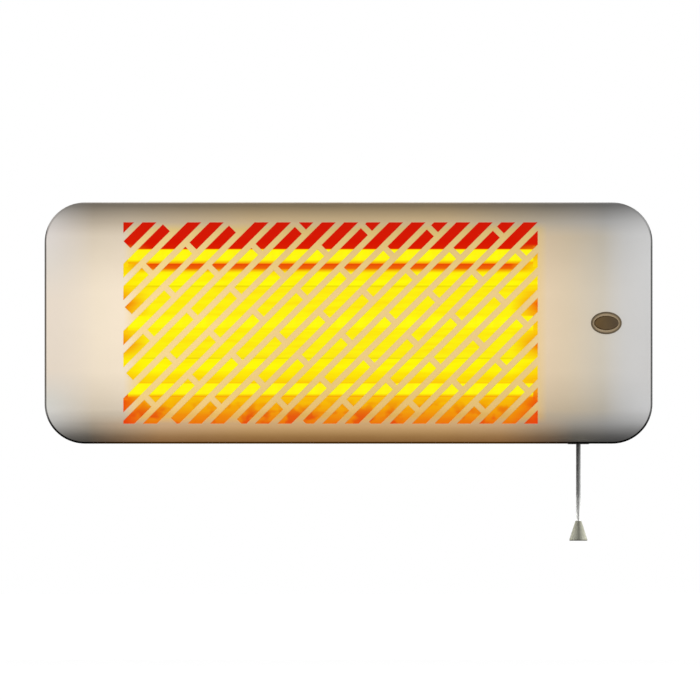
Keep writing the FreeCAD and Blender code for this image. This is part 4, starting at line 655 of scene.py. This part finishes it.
def quartz():
    """Milky quartz with a hot coil inside: yellow, and orange painted along its top and underside as the
    glow's soft edge.
    """
    shader = glowing("quartz", srgb(30, 24, 10), 0.2)
    ripple = shader.noise(180.0, 2.0, (1, 0.2, 0.2))
    hot = shader.mottled(ripple, srgb(255, 252, 10), srgb(255, 244, 14))
    edge_colour = shader.ramp(shader.axes()["Z"], GLOW_LOW, GLOW_HIGH, QUARTZ_PAINTED_EDGE_GLOW)
    for start, end in ((QUARTZ_TOP_EDGE, 1.0), (QUARTZ_UNDERSIDE, -1.0)):
        hot = shader.mix(shader.span(shader.facing()["Z"], start, end), hot, edge_colour)
    shader.glow(hot)
    return shader.material


def hot_wire():
    """The coil itself."""
    shader = glowing("hot_wire", srgb(120, 60, 30), 0.5)
    scale = shader.noise(900.0, 2.0)
    hot = shader.mix(shader.span(scale, 0.3, 0.7), srgb(255, 244, 120), srgb(255, 226, 60))
    shader.glow(hot)
    return shader.material


def cap_ceramic():
    """Ceramic ends of the tubes, with glow painted on them as on the trough's ends around them."""
    shader = glowing("cap_ceramic", srgb(60, 44, 26), 0.6)
    around = shader.ramp(shader.axes()["Z"], GLOW_LOW, GLOW_HIGH, PAINTED_END_GLOW)
    mottle = shader.noise(240.0, 3.0)
    warm = shader.mix(shader.span(mottle, 0.3, 0.7, 0.0, 0.3), around, srgb(248, 180, 10))
    shader.glow(warm)
    shader.bump(shader.noise(1500.0, 3.0), 0.12, GRAIN_DEPTH)
    return shader.material


# Materials of the small pieces

LENS_CENTRE = (0.212, 0.0, BODY_RISE)
LENS_HALF_WIDTH = 0.0100
BEZEL_STEP_HALF_WIDTH = 0.01095
BEZEL_STEP_HALF_HEIGHT = 0.00765
BEZEL_STEP_SOFT = 0.06
# The cord's grey, with a highlight painted in that makes it paler towards its foot.
CORD_TONE_AND_PAINTED_HIGHLIGHT = [(BELL_FOOT_Z, srgb(226, 226, 224)), (-0.130, srgb(172, 172, 170)),
                (-0.115, srgb(114, 114, 113)), (CORD_EXIT_Z, srgb(80, 80, 79))]


def lens_plastic():
    """Dark smoked lens, painted warmer towards the glow as the glow's light, with fine prisms moulded into
    it.
    """
    shader = Shader("lens_plastic", Roughness=0.22, Specular_IOR_Level=0.2)
    # The lens's smoked tone, with the glow's warm light painted on its side towards the grille.
    left = LENS_CENTRE[0] - LENS_HALF_WIDTH
    right = LENS_CENTRE[0] + LENS_HALF_WIDTH
    stops = [(left, srgb(112, 86, 46)), (LENS_CENTRE[0], srgb(102, 82, 52)), (right, srgb(84, 70, 52))]
    smoked = shader.ramp(shader.axes()["X"], left, right, stops)
    shader.colour(shader.mottled(shader.noise(160.0, 2.0), smoked, srgb(84, 64, 38), 0.25))
    prisms = shader.add("ShaderNodeTexWave", Scale=260.0)
    shader.link(shader.place(), prisms.inputs["Vector"])
    shader.bump(prisms.outputs["Fac"], 0.06, RELIEF_DEPTH)
    return shader.material


def bezel_plastic():
    """Brown bezel round the lens: paler on its inner slope, which is a painted highlight, and dark towards
    its outer edge.
    """
    shader = Shader("bezel_plastic", Roughness=0.42)
    step_scale = (1 / BEZEL_STEP_HALF_WIDTH, 0.0, 1 / BEZEL_STEP_HALF_HEIGHT)
    from_centre = shader.vector("LENGTH", shader.scaled_place(step_scale, LENS_CENTRE))["Value"]
    outer = shader.span(from_centre, 1 - BEZEL_STEP_SOFT, 1 + BEZEL_STEP_SOFT)
    # The pale inner colour is a painted highlight.
    mottled_tone = shader.mottled(shader.noise(120.0, 3.0), srgb(176, 154, 122), srgb(164, 144, 112))
    shader.colour(shader.mix(outer, mottled_tone, srgb(94, 79, 53)))
    shader.bump(shader.noise(2200.0, 2.0), 0.08, GRAIN_DEPTH)
    return shader.material


def cord_fabric():
    """Grey plaited cord, painted paler towards its foot as a highlight, with single fibres."""
    shader = Shader("cord_fabric", Roughness=0.7)
    run = shader.ramp(shader.axes()["Z"], BELL_FOOT_Z, CORD_EXIT_Z, CORD_TONE_AND_PAINTED_HIGHLIGHT)
    fibres = shader.noise(1600.0, 3.0, (1, 1, 0.3))
    shader.colour(shader.mottled(fibres, run, srgb(54, 54, 55), 0.3))
    shader.bump(fibres, 0.2, RELIEF_DEPTH)
    return shader.material


def bell_plastic():
    """Olive-grey satin bell with a dark foot."""
    shader = Shader("bell_plastic", Roughness=0.30, Specular_IOR_Level=0.4)
    olive = shader.mottled(shader.noise(160.0, 2.0), srgb(124, 124, 112), srgb(116, 116, 104))
    height = shader.axes()["Z"]
    foot = shader.span(height, BELL_FOOT_Z + BELL_EDGE, BELL_FOOT_Z + 3 * BELL_EDGE, 1.0, 0.0)
    shader.colour(shader.mix(foot, olive, srgb(60, 60, 48)))
    shader.bump(shader.noise(1800.0, 2.0), 0.04, GRAIN_DEPTH)
    return shader.material


# Maker, colour, darker colour and roughness of the plain materials
SIMPLE_MATERIALS = {
    "zinc_steel": (sheet_metal, srgb(178, 180, 184), srgb(164, 166, 170), 0.36),
    "bracket_paint": (plastic, srgb(150, 150, 148), srgb(144, 144, 142), 0.42),
    "fastener_steel": (sheet_metal, srgb(186, 187, 189), srgb(150, 151, 154), 0.26),
    "contact_brass": (sheet_metal, srgb(202, 164, 84), srgb(164, 124, 58), 0.3),
    "clip_steel": (sheet_metal, srgb(170, 172, 178), srgb(126, 128, 136), 0.3),
    "block_plastic": (plastic, srgb(222, 218, 204), srgb(206, 201, 186), 0.45),
    "gland_plastic": (plastic, srgb(44, 44, 46), srgb(34, 34, 36), 0.45),
    "cutout_plastic": (plastic, srgb(62, 40, 30), srgb(46, 30, 24), 0.4),
    "live_sleeve": (plastic, srgb(116, 66, 36), srgb(96, 54, 30), 0.5),
    "neutral_sleeve": (plastic, srgb(52, 88, 168), srgb(42, 72, 142), 0.5),
    "earth_sleeve": (plastic, srgb(96, 150, 46), srgb(206, 192, 54), 0.5),
    "lamp_sleeve": (plastic, srgb(212, 206, 196), srgb(196, 188, 176), 0.5),
    "bush_rubber": (plastic, srgb(40, 40, 41), srgb(28, 28, 29), 0.65),
    "neon_glass": (plastic, srgb(236, 150, 96), srgb(226, 120, 70), 0.1),
    "switch_plastic": (plastic, srgb(58, 58, 60), srgb(46, 46, 48), 0.45),
    "slider_plastic": (plastic, srgb(226, 224, 216), srgb(212, 209, 200), 0.4),
    "washer_fibre": (plastic, srgb(146, 76, 52), srgb(120, 60, 42), 0.7),
}
MADE_MATERIALS = (cover_steel, reflector_aluminium, quartz, hot_wire, cap_ceramic, lens_plastic,
                  bezel_plastic, cord_fabric, bell_plastic)


def make_materials():
    """Every slot's material, by the slot's name."""
    materials = {make.__name__: make() for make in MADE_MATERIALS}
    for name, (make, colour, dark, rough) in SIMPLE_MATERIALS.items():
        materials[name] = make(name, colour, dark, rough)
    return materials


def dress_cad(materials):
    """Puts the slots' materials on the part's own pieces."""
    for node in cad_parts.values():
        for place in node.material_slots:
            place.material = materials[place.material.name.split(".")[0]]


# Light and stage

AMBIENT = 0.15
# Name, turn from the front in degrees, distance, height, size (a spot's radius) and watts
LAMPS = [("front_right", 62.0, 3.0, 0.30, 1.1, 72.0), ("back_right", 125.0, 3.0, 0.30, 1.1, 36.0),
         ("back_left", 235.0, 3.0, 0.30, 1.1, 36.0), ("front_left", 298.0, 3.0, 0.30, 1.1, 32.0)]
SPOTS = [("low_right", 92.0, 1.2, -0.14, 0.06, 115.0), ("low_left", 271.0, 1.2, 0.035, 0.06, 165.0)]
SPOT_CONE_DEGREES = 17.0
BODY_AIM = (0.0, FRONT_Y / 2, BODY_RISE)
BELL_AIM = (CORD_X, CORD_Y, BELL_TOP_Z)
FLOOR_Z = -0.30
FLOOR_HALF = 8.0
FLOOR_COLOUR = srgb(150, 150, 150)
FLOOR_SEEN_LEVEL = 0.9
# Boards that only mirrors see, with their grey levels from front to back
BOARD_LOW = -0.28
BOARD_HIGH = 0.50
BOARD_HALF_WIDTH = 2.5
BOARD_FRONT = -1.6
BOARD_BACK = 3.0
SIDE_BOARD_X = 0.9
SIDE_BOARD_FRONT = -1.2
UPPER_LEVELS = [(-1.6, 1.0), (-0.41, 0.82), (-0.15, 0.56), (0.16, 0.27), (0.5, 0.2), (1.0, 0.9), (3.0, 1.0)]
LOWER_LEVELS = [(-1.6, 1.0), (-0.34, 0.76), (-0.175, 0.46), (-0.04, 0.15), (0.3, 0.05), (0.8, 0.0)]
SIDE_LEVELS = [(-1.2, 1.2), (-0.45, 1.2), (-0.1, 0.4), (0.1, 0.05), (3.0, 0.02)]


def seen_directly(tree):
    """One for rays from the camera and rays mirrored or let through to it, else zero."""
    path = tree.nodes.new("ShaderNodeLightPath")
    total = path.outputs["Is Camera Ray"]
    for name in ("Is Glossy Ray", "Is Transmission Ray"):
        either = tree.nodes.new("ShaderNodeMath")
        either.operation = "MAXIMUM"
        tree.links.new(total, either.inputs[0])
        tree.links.new(path.outputs[name], either.inputs[1])
        total = either.outputs[0]
    return total


def make_world():
    """White where it is seen, and a low even light elsewhere."""
    world = bpy.data.worlds.new("studio")
    world.use_nodes = True
    tree = world.node_tree
    background = tree.nodes["Background"]
    background.inputs["Color"].default_value = (1, 1, 1, 1)
    strength = tree.nodes.new("ShaderNodeMapRange")
    strength.inputs["To Min"].default_value = AMBIENT
    strength.inputs["To Max"].default_value = 1.0
    tree.links.new(seen_directly(tree), strength.inputs["Value"])
    tree.links.new(strength.outputs["Result"], background.inputs["Strength"])
    bpy.context.scene.world = world


def place_lamp(data, turn, distance, height, aim):
    """A lamp turned from the front about the heater and aimed at a place on it."""
    lamp = bpy.data.objects.new(data.name, data)
    angle = math.radians(turn)
    lamp.location = (distance * math.sin(angle), -distance * math.cos(angle), height)
    lamp.rotation_euler = (Vector(aim) - lamp.location).to_track_quat("-Z", "Y").to_euler()
    lamp.visible_glossy = False
    bpy.context.scene.collection.objects.link(lamp)


def make_lamps():
    """Soft square lamps around the heater, none straight in front, and two spots for the cord and bell."""
    for name, turn, distance, height, size, power in LAMPS:
        data = bpy.data.lights.new(name, "AREA")
        data.energy = power
        data.size = size
        place_lamp(data, turn, distance, height, BODY_AIM)
    for name, turn, distance, height, radius, power in SPOTS:
        data = bpy.data.lights.new(name, "SPOT")
        data.energy = power
        data.shadow_soft_size = radius
        data.spot_size = math.radians(SPOT_CONE_DEGREES)
        data.spot_blend = 1.0
        place_lamp(data, turn, distance, height, BELL_AIM)


def stage_sheet(name, corners, material):
    """One flat face of the stage, from its four corners."""
    mesh = bpy.data.meshes.new(name)
    mesh.from_pydata(corners, [], [(0, 1, 2, 3)])
    mesh.materials.append(material)
    sheet = bpy.data.objects.new(name, mesh)
    bpy.context.scene.collection.objects.link(sheet)
    return sheet


def level_corners(half_width, front, back, z):
    """The corners of a level sheet that is centred from side to side."""
    return [(-half_width, front, z), (half_width, front, z), (half_width, back, z), (-half_width, back, z)]


def make_board(name, corners, levels):
    """A grey board, graded from front to back, that only shows in polished surfaces."""
    shader = Shader(name, Base_Color=srgb(20, 20, 20), Roughness=0.9, Emission_Strength=1.0)
    shader.glow(shader.ramp(shader.axes()["Y"], BOARD_FRONT, BOARD_BACK, greys(levels)))
    board = stage_sheet(name, corners, shader.material)
    board.visible_camera = False
    board.visible_diffuse = False
    board.visible_transmission = False
    board.visible_shadow = False


def make_boards():
    """Boards above, below and at both sides, as in a studio, that keep the metal's turned edges dark."""
    level_boards = (("upper_board", BOARD_HIGH, UPPER_LEVELS), ("lower_board", BOARD_LOW, LOWER_LEVELS))
    for name, z, levels in level_boards:
        make_board(name, level_corners(BOARD_HALF_WIDTH, BOARD_FRONT, BOARD_BACK, z), levels)
    for name, x in (("left_board", -SIDE_BOARD_X), ("right_board", SIDE_BOARD_X)):
        corners = [(x, SIDE_BOARD_FRONT, BOARD_LOW), (x, BOARD_BACK, BOARD_LOW),
                   (x, BOARD_BACK, BOARD_HIGH), (x, SIDE_BOARD_FRONT, BOARD_HIGH)]
        make_board(name, corners, SIDE_LEVELS)


def make_floor():
    """A plain pale floor below the view, which keeps a soft shadow."""
    shader = Shader("floor", Base_Color=FLOOR_COLOUR, Roughness=0.9, Emission_Color=(1, 1, 1, 1))
    level = shader.span(seen_directly(shader.tree), 0, 1, 0.0, FLOOR_SEEN_LEVEL)
    shader.link(level, shader.surface.inputs["Emission Strength"])
    stage_sheet("floor", level_corners(FLOOR_HALF, -FLOOR_HALF, FLOOR_HALF, FLOOR_Z), shader.material)


# The scene


def hang_cord(materials):
    """The cord, its knot and its bell, which ride together."""
    points = route_points(CORD_ROUTE)
    cord = make_cord(points)
    knot = make_knot()
    bell = make_bell()
    for piece, slot in ((cord, "cord_fabric"), (knot, "cord_fabric"), (bell, "bell_plastic")):
        piece.data.materials.append(materials[slot])
        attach(piece, "pull_cord")
    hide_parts("pull_cord")
    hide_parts("pull_bell")


def fit_spring(materials):
    """The return spring, which stays on the body."""
    spring = make_spring()
    spring.data.materials.append(materials["fastener_steel"])
    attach(spring, "heater_body")
    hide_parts("return_spring")
    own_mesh(spring)


def main():
    """Camera, materials, new pieces, the part's own pieces, light and stage, in that order."""
    make_camera()
    materials = make_materials()
    hang_cord(materials)
    fit_spring(materials)
    dress_cad(materials)
    make_world()
    make_lamps()
    make_boards()
    make_floor()
    bpy.context.scene.view_settings.view_transform = "Standard"


main()
